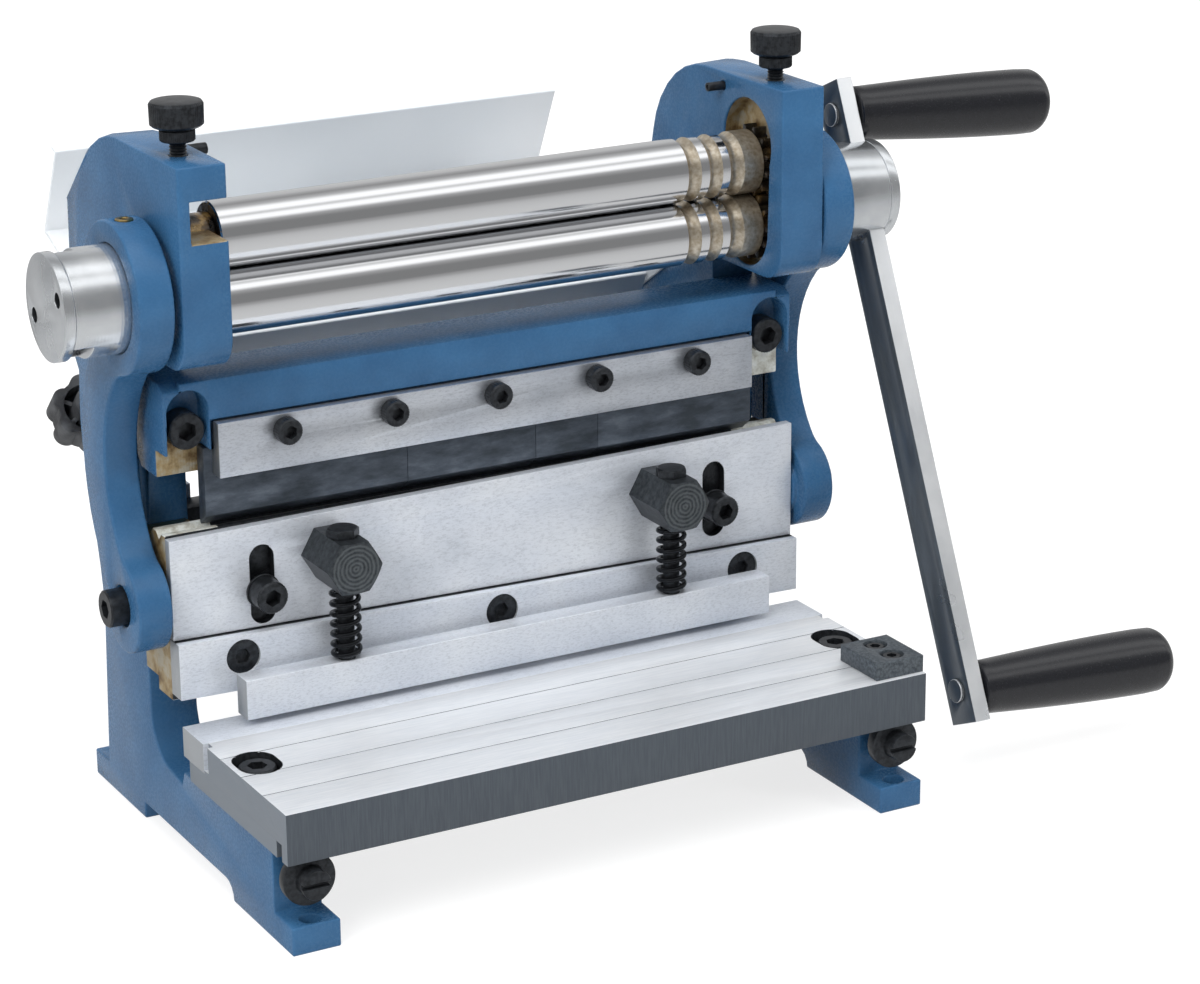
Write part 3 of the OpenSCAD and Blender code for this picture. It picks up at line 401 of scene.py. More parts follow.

# The slots that the table's screws sit in are painted black, as painted shade in these recesses
slot_y, slot_z, table_top = -41.5, 41.35, 50
table = dress("table", "table_plate", table_steel, "milled_dark_steel", 0.12)
paint(table, black_oxide,
      lambda c, n: abs(abs(c.x) - wall_x) < 8 and abs(c.y - slot_y) < 11
      and slot_z - 1.35 < c.z < table_top - 0.1)
dress("lower_blade_bar", "lower_blade", ground_steel, "ground_steel", 0.1)
dress("lower_blade_screws", "lower_blade_screw_set", black_oxide, "black_oxide", 0.15)
fit_screws("table_screws", "frame", socket_screw("m8_screw", *m8, 28),
           [((-wall_x, slot_y, slot_z), (0, 0, 10)), ((wall_x, slot_y, slot_z), (0, 0, 35))])

# Stop block
# A small block of blackened steel at the table's right end, held by two M4 socket screws. A strip
# of sheet is squared against it.

# Blackened milled steel: charcoal with a fine tooth of 1 mm
milled_black, tree, shader, place = start_material("blackened_milled_steel", Metallic=0.6,
                                                   Roughness=0.5)
grain = add(tree, "TexNoise", {"Scale": 900, "Detail": 3, "Roughness": 0.6}, {"Vector": place})
tones = add(tree, "ValToRGB", {"stops": [(0.35, "#43494f"), (0.65, "#62696f")]},
            {"Fac": grain.outputs["Fac"]})
tooth = add(tree, "Bump", {"Strength": 0.25, "Distance": 0.0002}, {"Height": grain.outputs["Fac"]})
feed(tree, shader, Base_Color=tones.outputs["Color"], Normal=tooth.outputs["Normal"])
dress("stop_block", "stop_block_milled", milled_black, "milled_dark_steel", 0.25)
fit_screws("stop_screws", "table", socket_screw("m4_screw", *m4, 9, 24),
           [((114.3, -66.6, 52.5), (0, 0, 0)), ((114.3, -77.2, 52.5), (0, 0, 30))])

# Gap adjusters
# Slotted screws of blackened steel in the front ends of the rails, each with a broad collar in the
# table's groove. They draw the table in and out.
for side in ("left", "right"):
    dress(f"{side}_adjuster", f"{side}_gap_screw", black_oxide, "black_oxide", 0.3)

# Lower roll and its gear
# The crankshaft: a ground and hard-chromed roll, with three round wire grooves at its right end and
# a journal at each end. Its gear is black with grease, which has stained the roll beside it.

# Hard chrome: a bright mirror with faint honed rings, clouded by oil towards the gears
chrome, tree, shader, place = start_material("ground_hard_chrome", Metallic=1.0)
along = add(tree, "SeparateXYZ", None, {0: place})
smear = add(tree, "TexNoise", {"Scale": 90, "Detail": 5, "Roughness": 0.6}, {"Vector": place})
reach = add(tree, "MapRange",
            {"From Min": 0.09, "From Max": 0.106, "To Min": -0.35, "To Max": 0.2},
            {"Value": along.outputs["X"]})
stain = add(tree, "Math", {"operation": 'ADD'},
            {0: smear.outputs["Fac"], 1: reach.outputs["Result"]})
amount = add(tree, "ValToRGB", {"stops": [(0.5, "#000000"), (0.78, "#ffffff")]},
             {"Fac": stain.outputs[0]})
oil = add(tree, "ValToRGB", {"stops": [(0.38, "#a07a35"), (0.56, "#e0cf9f")]},
          {"Fac": smear.outputs["Fac"]})
tint = add(tree, "Mix", {"data_type": 'RGBA', 6: "#e4e5e7"},
           {0: amount.outputs["Color"], 7: oil.outputs["Color"]})
haze = add(tree, "MapRange", {"To Min": 0.13, "To Max": 0.38}, {"Value": amount.outputs["Color"]})
hone = add(tree, "Mapping", {"Scale": (1, 0.1, 0.1)}, {"Vector": place})
lines = add(tree, "TexNoise", {"Scale": 1300, "Detail": 2, "Roughness": 0.6},
            {"Vector": hone.outputs[0]})
rings = add(tree, "Bump", {"Strength": 0.05, "Distance": 0.0001}, {"Height": lines.outputs["Fac"]})
feed(tree, shader, Base_Color=tint.outputs[2], Roughness=haze.outputs["Result"],
     Normal=rings.outputs["Normal"])

# The wire grooves, and the roll beyond them: dull from the wire drawn through, with tan oil
tarnish, tree, shader, place = start_material("tarnished_groove_steel", Metallic=0.85,
                                              Roughness=0.34)
rub = add(tree, "TexNoise", {"Scale": 600, "Detail": 4, "Roughness": 0.6}, {"Vector": place})
tones = add(tree, "ValToRGB", {"stops": [(0.34, "#a39682"), (0.5, "#b9ae9c"), (0.66, "#cbc3b4")]},
            {"Fac": rub.outputs["Fac"]})
feed(tree, shader, Base_Color=tones.outputs["Color"])

# Grease on the gears and journals: thick, glossy and nearly black, with golden-brown lumps of 2 mm
grease, tree, shader, place = start_material("dark_grease_on_steel", Metallic=0.3, Coat_Weight=0.6,
                                             Coat_Roughness=0.08)
lumps = add(tree, "TexNoise", {"Scale": 420, "Detail": 4, "Roughness": 0.6}, {"Vector": place})
thick = add(tree, "TexNoise", {"Scale": 110, "Detail": 3, "Roughness": 0.6}, {"Vector": place})
tones = add(tree, "ValToRGB", {"stops": [(0.4, "#15110b"), (0.52, "#4a3516"), (0.64, "#a5854d")]},
            {"Fac": thick.outputs["Fac"]})
wet = add(tree, "MapRange", {"To Min": 0.15, "To Max": 0.5}, {"Value": lumps.outputs["Fac"]})
body = add(tree, "Bump", {"Strength": 0.8, "Distance": 0.0012}, {"Height": lumps.outputs["Fac"]})
feed(tree, shader, Base_Color=tones.outputs["Color"], Roughness=wet.outputs["Result"],
     Normal=body.outputs["Normal"])

# The axis's height, the rolls' radius, the shoulder where a plain one ends and a geared one ends,
# its chamfer, and the grooves' starts and widths
lower_z, roll_r, plain_end, geared_end, chamfer = 195, 11.4, 102, 106.3, 0.5
grooves = [(75.1, 5.3), (83.8, 5.3), (92.2, 5.8)]


def groove(start, width, depth=1.6, steps=8):
    """Rings of a round-bottomed groove in a roll."""
    bow = (width * width / 4 + depth * depth) / (2 * depth)
    half = math.asin(width / 2 / bow)
    turns = [half * (2 * i / steps - 1) for i in range(steps + 1)]
    return [(start + width / 2 + bow * math.sin(a), roll_r + bow * (math.cos(half) - math.cos(a)))
            for a in turns]


def roll(node, body, y, z, journal, left, right, end, cuts):
    """A chromed roll along X that stands for a node, with journals of one radius and grooves."""
    rings = [(left, journal - chamfer), (left + chamfer, journal), (-plain_end, journal),
             (-plain_end, roll_r - chamfer), (chamfer - plain_end, roll_r)]
    for start, width in cuts:
        rings += groove(start, width)
    rings += [(end - chamfer, roll_r), (end, roll_r - chamfer), (end, journal),
              (right - chamfer, journal), (right, journal - chamfer)]
    made = turn("roll", rings, 96)
    shade(made, 32)
    piece = cover(put(made, f"{node}_chromed", (0, y, z), (0, 90, 0)), chrome, body, "hard_chrome",
                  node)
    bpy.data.objects.remove(made)
    return piece


def soil(piece, z):
    """Dulls a roll's grooves and right end, and covers its shoulders and journals with grease."""
    paint(piece, tarnish, lambda c, n: c.x > sum(grooves[-1]) + 0.1
          or c.x > 75 and math.hypot(c.y - roll_y, c.z - z) < roll_r - 0.07)
    paint(piece, grease, lambda c, n: plain_end - 0.6 < abs(c.x) < 122
          and math.hypot(c.y - roll_y, c.z - z) < roll_r - 0.4)


soil(roll("lower_roll", "crank", roll_y, lower_z, 7, -148.6, 148.6, geared_end, grooves), lower_z)

# The same grease where the teeth have worked it black
black_grease = grease.copy()
black_grease.name = "black_grease_on_gear"
for stop, code in zip(black_grease.node_tree.nodes["Color Ramp"].color_ramp.elements,
                      ("#0c0a08", "#1d1610", "#4c3a1e")):
    stop.color = linear(code)
dress("crank_gear", "lower_gear", black_grease, "greased_steel", 0.2)

# Hubs, caps and lever
# Turned steel eccentrics on the crankshaft's ends. A cap with two spanner holes closes the slot in
# each. The bright bar lever sits in the right one, under the cap.
hub_z, cap_x = 201.3, 159.8

# Turned steel: bright, with the tool's fine rings on its faces and lines round its rims
turned, tree, shader, place = start_material("turned_bright_steel", Metallic=0.92)
centred = add(tree, "Mapping", {"Location": (0, -roll_y * mm, -hub_z * mm)}, {"Vector": place})
tool = add(tree, "TexWave", {"wave_type": 'RINGS', "rings_direction": 'X', "Scale": 260,
                             "Distortion": 1, "Detail": 2}, {"Vector": centred.outputs[0]})
feedline = add(tree, "TexWave", {"wave_type": 'BANDS', "bands_direction": 'X', "Scale": 260,
                                 "Distortion": 1, "Detail": 2}, {"Vector": place})
facing = add(tree, "SeparateXYZ", None, {0: add(tree, "TexCoord").outputs["Normal"]})
flat = add(tree, "Math", {"operation": 'ABSOLUTE'}, {0: facing.outputs["X"]})
turns = add(tree, "Mix", {"data_type": 'FLOAT'},
            {0: flat.outputs[0], 2: feedline.outputs["Fac"], 3: tool.outputs["Fac"]})
film = add(tree, "TexNoise", {"Scale": 45, "Detail": 4, "Roughness": 0.6}, {"Vector": place})
tones = add(tree, "ValToRGB", {"stops": [(0.35, "#ccd0d4"), (0.65, "#e0e3e6")]},
            {"Fac": film.outputs["Fac"]})
haze = add(tree, "MapRange", {"From Min": 0.3, "From Max": 0.7, "To Min": 0.14, "To Max": 0.26},
           {"Value": film.outputs["Fac"]})
duller = add(tree, "MapRange", {"To Min": 0, "To Max": 0.1}, {"Value": flat.outputs[0]})
both = add(tree, "Math", {"operation": 'ADD'},
           {0: haze.outputs["Result"], 1: duller.outputs["Result"]})
rings = add(tree, "Bump", {"Strength": 0.09, "Distance": 0.0001}, {"Height": turns.outputs[0]})
feed(tree, shader, Base_Color=tones.outputs["Color"], Roughness=both.outputs[0],
     Normal=rings.outputs["Normal"])
dress("left_hub", "left_eccentric", turned, "turned_steel", 0.35, 2)
dress("right_hub", "right_eccentric", turned, "turned_steel", 0.35, 2)
# The spanner holes are painted black inside, as painted shade in the holes
caps = dress("hub_caps", "spanner_caps", turned, "turned_steel", 0.3, 2)
paint(caps, black_oxide,
      lambda c, n: abs(c.x) < cap_x - 0.2 and math.hypot(c.y - roll_y, c.z - hub_z) < 17)

# Drawn bar: bright steel with draw lines of 1 mm along it. The broad face that looks towards the
# machine is darker: painted shade
lever_tilt = math.radians(24.3)
drawn, tree, shader, place = start_material("bright_drawn_bar", Metallic=0.7)
line = add(tree, "Mapping", {"Rotation": (lever_tilt, 0, 0)}, {"Vector": place})
long = add(tree, "Mapping", {"Scale": (1, 1, 0.03)}, {"Vector": line.outputs[0]})
draw = add(tree, "TexNoise", {"Scale": 1100, "Detail": 3, "Roughness": 0.65},
           {"Vector": long.outputs[0]})
blur = add(tree, "TexNoise", {"Scale": 40, "Detail": 4}, {"Vector": place})
tones = add(tree, "ValToRGB", {"stops": [(0.35, "#d3d6d9"), (0.65, "#e6e8ea")]},
            {"Fac": blur.outputs["Fac"]})
facing = add(tree, "SeparateXYZ", None, {0: add(tree, "TexCoord").outputs["Normal"]})
# Painted shade: the broad face towards the machine is given a darker grey
broad = add(tree, "Math", {"operation": 'LESS_THAN', 1: -0.8}, {0: facing.outputs["X"]})
shaded_face = add(tree, "Mix", {"data_type": 'RGBA', 7: "#5e656c"},
             {0: broad.outputs[0], 6: tones.outputs["Color"]})
dull = add(tree, "MapRange", {"From Min": 0.3, "From Max": 0.7, "To Min": 0.26, "To Max": 0.42},
           {"Value": blur.outputs["Fac"]})
marks = add(tree, "Bump", {"Strength": 0.2, "Distance": 0.0002}, {"Height": draw.outputs["Fac"]})
feed(tree, shader, Base_Color=shaded_face.outputs[2], Roughness=dull.outputs["Result"],
     Normal=marks.outputs["Normal"])
dress("lever", "lever_bar", drawn, "ground_steel", 0.35, 2)
dress("grip_spindles", "riveted_spindles", drawn, "turned_steel", 0.3, 2)

# Grips
# Two handles moulded in glossy black phenolic, swelling from the lever to a rounded end. Each turns
# on a steel spindle riveted in the lever.

# Phenolic: a hard black gloss, smeared by hands at a fine scale of 1 mm
phenolic, tree, shader, place = start_material("glossy_black_phenolic", Base_Color="#15161a",
                                               IOR=1.55)
lint = add(tree, "TexNoise", {"Scale": 1200, "Detail": 3, "Roughness": 0.7}, {"Vector": place})
sheen = add(tree, "MapRange", {"From Min": 0.35, "From Max": 0.7, "To Min": 0.14, "To Max": 0.3},
            {"Value": lint.outputs["Fac"]})
mould = add(tree, "Bump", {"Strength": 0.06, "Distance": 0.0002}, {"Height": lint.outputs["Fac"]})
feed(tree, shader, Roughness=sheen.outputs["Result"], Normal=mould.outputs["Normal"])
# The gap beside the lever, the bore, the radii at the neck and the belly, and the rounded end's
play, bore, neck, belly, nose_r = 1.2, 4.06, 9.9, 12.2, 7
lever_x, lever_t, droop = 149.3, 6.3, math.radians(3)
swell = [(play + 4 + 68.5 * i / 16, neck + (belly - neck) * math.sin(math.radians(90 * i / 16)))
         for i in range(17)]
nose = [(play + 76.5 + nose_r * math.sin(math.radians(a)),
         belly - nose_r + nose_r * math.cos(math.radians(a))) for a in range(15, 91, 5)]
for name, reach in (("upper", 28.4), ("lower", -186)):
    made = turn("grip", [(play, bore), (play, neck - 1), (play + 0.3, neck - 0.4), (play + 1, neck)]
                + swell + nose + [(85.2, 2.5), (85.3, 0.05)], 72)
    shade(made, 40)
    on_lever = Matrix.Rotation(-lever_tilt, 4, 'X') \
        @ Matrix.Translation((lever_t * mm, 0, reach * mm)) \
        @ Matrix.Rotation(math.radians(90) + droop, 4, 'Y')
    made.data.transform(Matrix.Translation(Vector((lever_x, roll_y, hub_z)) * mm) @ on_lever)
    made.name = f"{name}_handle"
    cover(made, phenolic, f"{name}_grip", "black_plastic", f"{name}_grip")

# Upper roll, gear, bushes and thumbscrews
# The upper roll turns in bronze bushes that slide in the heads. A knurled thumbscrew with a lock
# nut presses on each.
upper_z = 218
soil(roll("upper_roll", "upper_roll", roll_y, upper_z, 5.5, -117.5, 122, geared_end, grooves),
     upper_z)
dress("upper_gear", "upper_gear_greased", black_grease, "greased_steel", 0.25)
for name in ("crank_bushes", "upper_bushes"):
    dress(name, f"{name}_greased", grease, "bronze", 0.3)
foot = [(225.9, 1.7), (226.2, 2), (236.2, 2), (236.2, 2.5)]
thread = [(z / 2, 2.95 if z % 2 else 2.5) for z in range(473, 505)]
lock_nut = [(252.4, 2.5), (252.4, 5.5), (252.8, 5.9), (256, 5.9), (256.5, 5.4), (256.5, 4.8),
            (257, 4.8)]
knob = [(257, 7.4), (257.3, 8.1), (258, 8.9), (264.6, 9), (265.5, 8.4), (265.7, 7.8), (265.8, 3),
        (265.8, 0.05)]
for side, x in (("left", -wall_x), ("right", wall_x)):
    made = turn("thumbscrew", foot + thread + lock_nut + knob, 120)
    knurl(made, 258.1, 265, 8.5, 0.22, 120)
    knurl(made, 252.6, 256.2, 5.6, 0.15, 120)
    shade(made, 25)
    made.data.transform(Matrix.Translation((x * mm, 2.5 * mm, 0)))
    made.name = f"{side}_knurled_screw"
    cover(made, black_oxide, f"{side}_thumbscrew", "black_oxide", f"{side}_thumbscrew")

# Roll pins and gibs
# Spring pins stand out of the heads. Two ground steel gibs, held on the columns by four screws,
# keep the ram's guide bar against the frames.
dress("roll_pins", "spring_pins", black_oxide, "black_oxide", 0.15)
dress("gibs", "guide_gibs", ground_steel, "ground_steel", 0.3)
dress("gib_screws", "gib_screw_set", black_oxide, "black_oxide", 0.15)

# Arms
# Two cast arms hang from the hubs and carry the ram's ends. Each turns on a shouldered M8 screw at
# its foot and has a brass oil hole over its big bore.
pivot_x, pivot_y, pivot_z = 135.3, 14.1, 92.2

# Brass, turned: a dull gold with dents of 1.4 mm from use
brass, tree, shader, place = start_material("turned_brass", Base_Color="#b59c68", Metallic=1.0,
                                            Roughness=0.28)
worn = add(tree, "TexNoise", {"Scale": 700, "Detail": 2}, {"Vector": place})
dents = add(tree, "Bump", {"Strength": 0.2, "Distance": 0.0002}, {"Height": worn.outputs["Fac"]})
feed(tree, shader, Normal=dents.outputs["Normal"])
screw = socket_screw("m8_screw", *m8[:2], 5, 12)
for side, sense in (("left", -1), ("right", 1)):
    dress(f"{side}_arm", f"{side}_arm_casting", enamel, "blue_enamel", 1.0, 3)
    cover(put(screw, f"{side}_pivot", (sense * pivot_x, pivot_y, pivot_z), (0, sense * 90, 0)),
          black_oxide, f"{side}_arm", "black_oxide", f"{side}_pivot_screw")
    dress(f"{side}_oiler", f"{side}_oil_hole", brass, "bronze", 0.3)
bpy.data.objects.remove(screw)

# Ram, front plate and upper blade
# A heavy steel bar slides on pads behind it, with a ground plate and the raked upper blade screwed
# to its front. Its sawn ends have browned, and its top is pitted beyond the punches.
punches_x, ram_top = 103.5, 110
ram = dress("ram", "ram_bar", ground_steel, "ground_steel", 0.4)
paint(ram, raw_iron, lambda c, n: abs(n.x) > 0.7)
paint(ram, pitted, lambda c, n: n.z > 0.3 and c.z > ram_top and abs(c.x) > punches_x - 0.5,
      [("x", -punches_x), ("x", punches_x)])
# Painted shadow: the top between the punches is painted black, where the punches shade it
paint(ram, black_oxide, lambda c, n: n.z > 0.3 and c.z > ram_top and abs(c.x) < punches_x - 0.5)
paint(ram, black_oxide, lambda c, n: n.y < -0.9)
dress("guide_bar", "guide_bar_black", black_oxide, "black_oxide", 0.3)
pads = dress("slide_pads", "bronze_slide_pads", brass, "bronze", 0.3)
paint(pads, raw_iron, lambda c, n: abs(n.x) > 0.7)

# The plate's top edge slopes down to the right. The walls of its slots and its foot are painted
# black, as painted shade in the slots and under the plate
plate_screw_x, plate_screw_z, plate_left, slope = 89.6, 92, -123, 0.0065
plate = dress("front_plate", "front_plate_ground", ground_steel, "ground_steel", 0.3)
for v in plate.data.vertices:
    if v.co.z > 112 * mm:
        v.co.z -= (v.co.x - plate_left * mm) * slope
paint(plate, black_oxide, lambda c, n: n.z < -0.3
      or abs(abs(c.x) - plate_screw_x) < 5 and 80 < c.z < 110 and abs(n.y) < 0.5)

# The blade's top behind the plate is painted black, as painted shade in the joint under the plate
plate_back = 2.8
blade = dress("upper_blade", "upper_blade_ground", ground_steel, "ground_steel", 0.12)
paint(blade, black_oxide, lambda c, n: n.z > 0.5 and c.z > 70 and c.y > plate_back - 0.1,
      [("y", plate_back)])
dress("upper_blade_screws", "upper_blade_screw_set", black_oxide, "black_oxide", 0.15)
screw = socket_screw("m8_screw", 5.75, 8, 4, 14, 32)
disc = turn("disc", [(0, 6), (0.15, 6.2), (0.75, 6.2), (0.9, 6)], 48)
recess(disc, 48, 4.05, 0.5, 2)
shade(disc)
for i, x in enumerate([-plate_screw_x, plate_screw_x]):
    cover(put(screw, f"plate_screw_{i}", (x, 3.5, plate_screw_z), (90, 15 * i + 8, 0)),
          black_oxide, "ram", "black_oxide", *([] if i else ["plate_screws"]))
    cover(put(disc, f"plate_washer_{i}", (x, 4.4, plate_screw_z), (90, 0, 0)), black_oxide, "ram",
          "black_oxide")
for made in (screw, disc):
    bpy.data.objects.remove(made)

# Hexagon blocks, rods and springs
# Blackened hexagon blocks, faced on a lathe, guide two rods. Wire springs on the rods press a bar
# on the sheet while the blade cuts it.
rod_x, rod_y, block_z = 64.6, -8, 102.3

# Blackened steel, faced: charcoal, with paler rings round the middle of the front face
faced, tree, shader, place = start_material("faced_black_hexagon", Metallic=0.75, Roughness=0.42)
split = add(tree, "SeparateXYZ", None, {0: place})
mirrored = add(tree, "Math", {"operation": 'ABSOLUTE'}, {0: split.outputs["X"]})
offset = add(tree, "Math", {"operation": 'SUBTRACT', 1: rod_x * mm}, {0: mirrored.outputs[0]})
level = add(tree, "Math", {"operation": 'SUBTRACT', 1: block_z * mm}, {0: split.outputs["Z"]})
centred = add(tree, "CombineXYZ", None, {"X": offset.outputs[0], "Z": level.outputs[0]})
rings = add(tree, "TexWave", {"wave_type": 'RINGS', "rings_direction": 'Y', "Scale": 210,
                              "Distortion": 2, "Detail": 3, "Detail Scale": 2},
            {"Vector": centred.outputs[0]})
facing = add(tree, "SeparateXYZ", None, {0: add(tree, "TexCoord").outputs["Normal"]})
front = add(tree, "Math", {"operation": 'LESS_THAN', 1: -0.9}, {0: facing.outputs["Y"]})
soot = add(tree, "TexNoise", {"Scale": 500, "Detail": 4, "Roughness": 0.7}, {"Vector": place})
cuts = add(tree, "Math", {"operation": 'MULTIPLY'}, {0: rings.outputs["Fac"], 1: front.outputs[0]})
tones = add(tree, "ValToRGB", {"stops": [(0.35, "#303438"), (0.65, "#4b5054")]},
            {"Fac": soot.outputs["Fac"]})
faint = add(tree, "Math", {"operation": 'MULTIPLY', 1: 0.4}, {0: cuts.outputs[0]})
bright = add(tree, "Mix", {"data_type": 'RGBA', 7: "#7b8184"},
             {0: faint.outputs[0], 6: tones.outputs["Color"]})
total = add(tree, "Math", {"operation": 'MULTIPLY_ADD', 1: 0.3},
            {0: soot.outputs["Fac"], 2: cuts.outputs[0]})
steps = add(tree, "Bump", {"Strength": 0.4, "Distance": 0.0003}, {"Height": total.outputs[0]})
feed(tree, shader, Base_Color=bright.outputs[2], Normal=steps.outputs["Normal"])


def hexagon(name, flats, rings):
    """A turned piece about the Z axis, with six flats that lie so many millimetres apart."""
    piece = turn(name, rings, 96)
    bpy.ops.object.select_all(action='DESELECT')
    bpy.ops.mesh.primitive_cylinder_add(vertices=6, radius=flats / math.sqrt(3) * mm, depth=0.5,
                                        rotation=(0, 0, math.radians(30)))
    prism = bpy.context.object
    mill = piece.modifiers.new("flats", 'BOOLEAN')
    mill.object, mill.operation, mill.solver = prism, 'INTERSECT', 'EXACT'
    pick(piece)
    bpy.ops.object.modifier_apply(modifier=mill.name)
    bpy.data.objects.remove(prism)
    return piece


stock = hexagon("stock", 18, [(0, 8.7), (1.2, 10.6), (22.3, 10.6), (22.6, 10.3), (22.6, 4),
                              (31, 4)])
bolt = hexagon("bolt", 10, [(54.9, 2.7), (55.2, 3), (111.4, 3), (111.4, 5.9), (113.8, 5.9),
                            (114.4, 4.8)])
for i, (x, spin) in enumerate([(-rod_x, 47), (rod_x, 9)]):
    block = put(stock, f"hexagon_block_{i}", (x, -18.2, block_z), (-90, 0, 0))
    recess(block, 48, 3.05, 112, 20, x, rod_y)
    shade(block, 25)
    cover(block, faced, "ram", "black_oxide", *([] if i else ["hex_blocks"]))
    rod = put(bolt, f"hold_down_bolt_{i}", (x, rod_y, 0), (0, 0, spin))
    shade(rod, 25)
    cover(rod, black_oxide, "hold_down", "black_oxide", *([] if i else ["hold_down_rods"]))
for made in (stock, bolt):
    bpy.data.objects.remove(made)
dress("hold_down_bar", "pressure_bar", ground_steel, "ground_steel", 0.25)

# Oiled spring wire: black, with a hard wet highlight along each turn
spring_wire, tree, shader, place = start_material("oiled_black_spring_wire", Base_Color="#232528",
                                                  Metallic=0.85, Roughness=0.2)
drawn_wire = add(tree, "TexNoise", {"Scale": 900, "Detail": 2}, {"Vector": place})
pull = add(tree, "Bump", {"Strength": 0.12, "Distance": 0.0002},
           {"Height": drawn_wire.outputs["Fac"]})
feed(tree, shader, Normal=pull.outputs["Normal"])

# The spring's seats, the radii of its wire and coil, its turns, those closed at each end, the
# points in a turn, and the rise of an open turn
low, high, wire, coil = 67.1, 93.2, 0.9, 4.7
coils, closed, per_turn = 7.2, 0.6, 28
lead = (high - low - 2 * wire - 2 * closed * 2 * wire) / (coils - 2 * closed)
for side, sense in (("left", -1), ("right", 1)):
    line = bpy.data.curves.new(f"{side}_coil_line", 'CURVE')
    line.dimensions, line.bevel_depth, line.bevel_resolution = '3D', wire * mm, 3
    line.use_fill_caps = True
    spline = line.splines.new('POLY')
    total = round(coils * per_turn)
    spline.points.add(total)
    for i in range(total + 1):
        t = i / per_turn
        rise = (min(t, closed) + max(0, t - coils + closed)) * 2 * wire \
            + max(0, min(t, coils - closed) - closed) * lead
        angle = math.tau * t
        spline.points[i].co = ((sense * rod_x + coil * math.cos(angle)) * mm,
                               (coil * math.sin(angle) + rod_y) * mm, (low + wire + rise) * mm, 1)
    coiled = bpy.data.objects.new(f"{side}_coil", line)
    bpy.context.collection.objects.link(coiled)
    pick(coiled)
    bpy.ops.object.convert(target='MESH')
    coiled = bpy.context.object
    shade(coiled, 60)
    cover(coiled, spring_wire, "ram", "black_oxide", f"{side}_spring")
    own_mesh(coiled)

# Rear roll and star knobs
# The bending roll, in blocks that two long screws push up along slots in the heads. Each screw ends
# in a moulded star knob behind the frame.
roll("rear_roll", "rear_roll", 38, 197, 5.5, -117.4, 117.4, plain_end, [])
dress("rear_blocks", "rear_roll_blocks", black_oxide, "black_oxide", 1.1)

# Moulded nylon: a matt black with a fine grain of 0.7 mm, greyed by dust in patches of 8 mm
moulded, tree, shader, place = start_material("moulded_black_nylon", Roughness=0.5, IOR=1.5)
speck = add(tree, "TexNoise", {"Scale": 1500, "Detail": 3, "Roughness": 0.7}, {"Vector": place})
dust = add(tree, "TexNoise", {"Scale": 120, "Detail": 4}, {"Vector": place})
tones = add(tree, "ValToRGB", {"stops": [(0.4, "#222326"), (0.62, "#4a4c4f")]},
            {"Fac": dust.outputs["Fac"]})
grain = add(tree, "Bump", {"Strength": 0.5, "Distance": 0.0003}, {"Height": speck.outputs["Fac"]})
feed(tree, shader, Base_Color=tones.outputs["Color"], Normal=grain.outputs["Normal"])
for side in ("left", "right"):
    dress(f"{side}_knob_screw", f"{side}_knob_rod", black_oxide, "black_oxide", 0.3)
    dress(f"{side}_star_knob", f"{side}_star_knob_moulded", moulded, "black_plastic", 0.4,
          limit=35, clamp=True)

# Rear guard
# Thin sheet steel folded to a tray behind the rolls, with a hem at its top and a screwed tab at
# each end. It is powder-coated light grey.

# Powder coat: a satin light grey with a pebbled skin of 1 mm and faint clouds
powder, tree, shader, place = start_material("light_grey_powder_coat", IOR=1.5, Roughness=0.45)
texture = add(tree, "TexNoise", {"Scale": 1100, "Detail": 2, "Roughness": 0.6}, {"Vector": place})
cast = add(tree, "TexNoise", {"Scale": 14, "Detail": 2}, {"Vector": place})
tones = add(tree, "ValToRGB", {"stops": [(0.3, "#cdd2d6"), (0.7, "#d8dbde")]},
            {"Fac": cast.outputs["Fac"]})
pebble = add(tree, "Bump", {"Strength": 0.12, "Distance": 0.0002},
             {"Height": texture.outputs["Fac"]})
feed(tree, shader, Base_Color=tones.outputs["Color"], Normal=pebble.outputs["Normal"])
dress("rear_guard", "folded_guard", powder, "grey_sheet", 0.25)
dress("guard_screws", "guard_screw_set", black_oxide, "black_oxide", 0.2)

# Studio
# A plain pale floor, soft lamps and a bright surround. The camera stands where the photograph was
# taken. It sees the floor nearly white, and metal sees it white close by and greyer further off.
paper, tree, shader, place = start_material("matt_white_paper", Base_Color="#ececec", Roughness=0.9)
glow = add(tree, "Emission", {"Color": "#ffffff", "Strength": 1.15})
ray = add(tree, "LightPath")
share = add(tree, "Math", {"operation": 'MULTIPLY', 1: 0.66}, {0: ray.outputs["Is Camera Ray"]})
blend = add(tree, "MixShader", None,
            {0: share.outputs[0], 1: shader.outputs[0], 2: glow.outputs[0]})
away = add(tree, "VectorMath", {"operation": 'LENGTH'},
           {0: add(tree, "NewGeometry").outputs["Position"]})
fade = add(tree, "MapRange", {"From Min": 0.15, "From Max": 1.5, "To Min": 0.7, "To Max": 0.38},
           {"Value": away.outputs["Value"]})
mirrored = add(tree, "Emission", {"Color": "#ffffff"}, {"Strength": fade.outputs["Result"]})
mixed = add(tree, "MixShader", None,
            {0: ray.outputs["Is Glossy Ray"], 1: blend.outputs[0], 2: mirrored.outputs[0]})
tree.links.new(mixed.outputs[0], tree.nodes["Material Output"].inputs["Surface"])
bpy.ops.object.select_all(action='DESELECT')
bpy.ops.mesh.primitive_plane_add(size=12, location=(0, 0, 0))
floor = bpy.context.object
floor.name = "paper_floor"
floor.data.materials.append(paper)

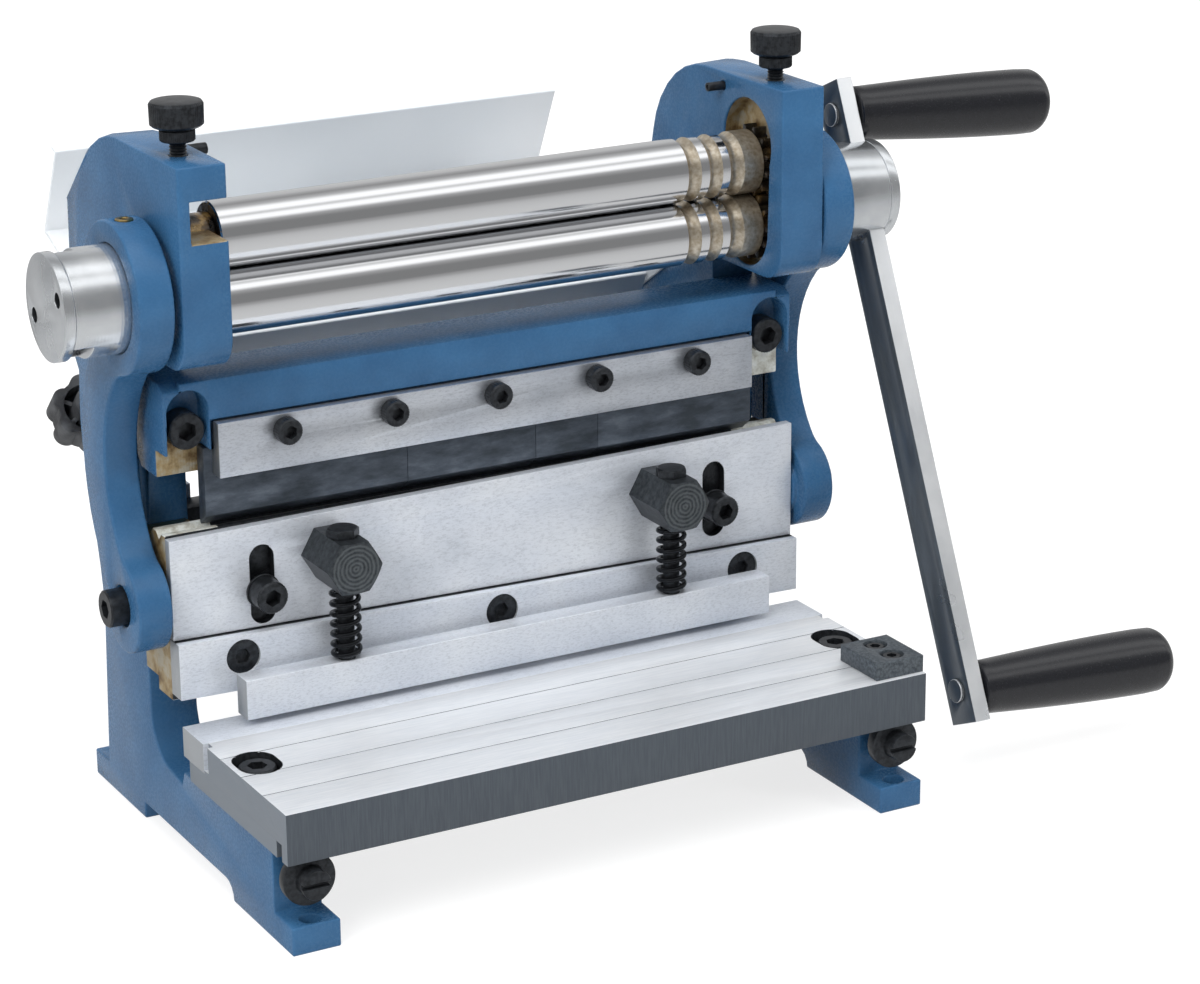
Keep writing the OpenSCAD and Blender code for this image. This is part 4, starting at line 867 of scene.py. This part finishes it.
# Bright strips and grey cards around, by their angle up from the front in degrees. The camera sees
# plain white.
cards = [(0, "#777777"), (28, "#767676"), (42, "#9c9c9c"), (50, "#fbfbfb"), (60, "#fbfbfb"),
         (69, "#b5b5b5"), (78, "#fbfbfb"), (90, "#fbfbfb"), (102, "#afafaf"), (120, "#868686"),
         (144, "#b1b1b1"), (180, "#b5b5b5")]
world = bpy.data.worlds.new("studio_surround")
bpy.context.scene.world = world
world.use_nodes = True
tree = world.node_tree
sky = tree.nodes["Background"]
aim = add(tree, "SeparateXYZ", None, {0: add(tree, "TexCoord").outputs["Generated"]})
ahead = add(tree, "Math", {"operation": 'MULTIPLY', 1: -1.0}, {0: aim.outputs["Y"]})
tall = add(tree, "Math", {"operation": 'ARCTAN2'}, {0: aim.outputs["Z"], 1: ahead.outputs[0]})
half = add(tree, "MapRange", {"From Max": math.pi}, {"Value": tall.outputs[0]})
bands = add(tree, "ValToRGB", {"stops": [(degrees / 180, grey) for degrees, grey in cards]},
            {"Fac": half.outputs["Result"]})
ray = add(tree, "LightPath")
white = add(tree, "Mix", {"data_type": 'RGBA', 7: "#ffffff"},
            {0: ray.outputs["Is Camera Ray"], 6: bands.outputs["Color"]})
tree.links.new(white.outputs[2], sky.inputs["Color"])
sky.inputs["Strength"].default_value = 1.35

# Soft lamps aimed at the middle of the machine: place and size in metres, and power
target = Vector((0, 0, 0.12))
for name, at, size, power in [
        ("key_softbox", (-1.8, -1.1, 1.6), 1.2, 38), ("fill_softbox", (1.2, -1.5, 0.9), 0.35, 10),
        ("back_softbox", (0.3, 1.6, 1.6), 1.4, 16), ("top_softbox", (-0.1, -0.4, 2.1), 1.5, 24)]:
    bpy.ops.object.light_add(type='AREA', location=at)
    lamp = bpy.context.object
    lamp.name = name
    lamp.data.size, lamp.data.energy = size, power
    lamp.visible_glossy = False
    lamp.rotation_euler = (Vector(at) - target).to_track_quat('Z', 'Y').to_euler()

# The camera, as solved from the photograph's straight edges
azimuth, elevation, roll_angle = [math.radians(a) for a in (-28.806, 18.607, -0.5137)]
back = Vector((math.sin(azimuth) * math.cos(elevation), -math.cos(azimuth) * math.cos(elevation),
               math.sin(elevation)))
across = Vector((math.cos(azimuth), math.sin(azimuth), 0))
upward = back.cross(across)
right_way = across * math.cos(roll_angle) + upward * math.sin(roll_angle)
up_way = upward * math.cos(roll_angle) - across * math.sin(roll_angle)
bpy.ops.object.camera_add()
camera = bpy.context.object
camera.data.lens, camera.data.sensor_width = 104.33, 36
camera.data.sensor_fit = 'HORIZONTAL'
camera.matrix_world = Matrix.LocRotScale(
    Vector((-0.52654, -1.03015, 0.50263)), Matrix((right_way, up_way, back)).transposed(), None)
bpy.context.scene.camera = camera
bpy.context.scene.view_settings.view_transform = 'Standard'
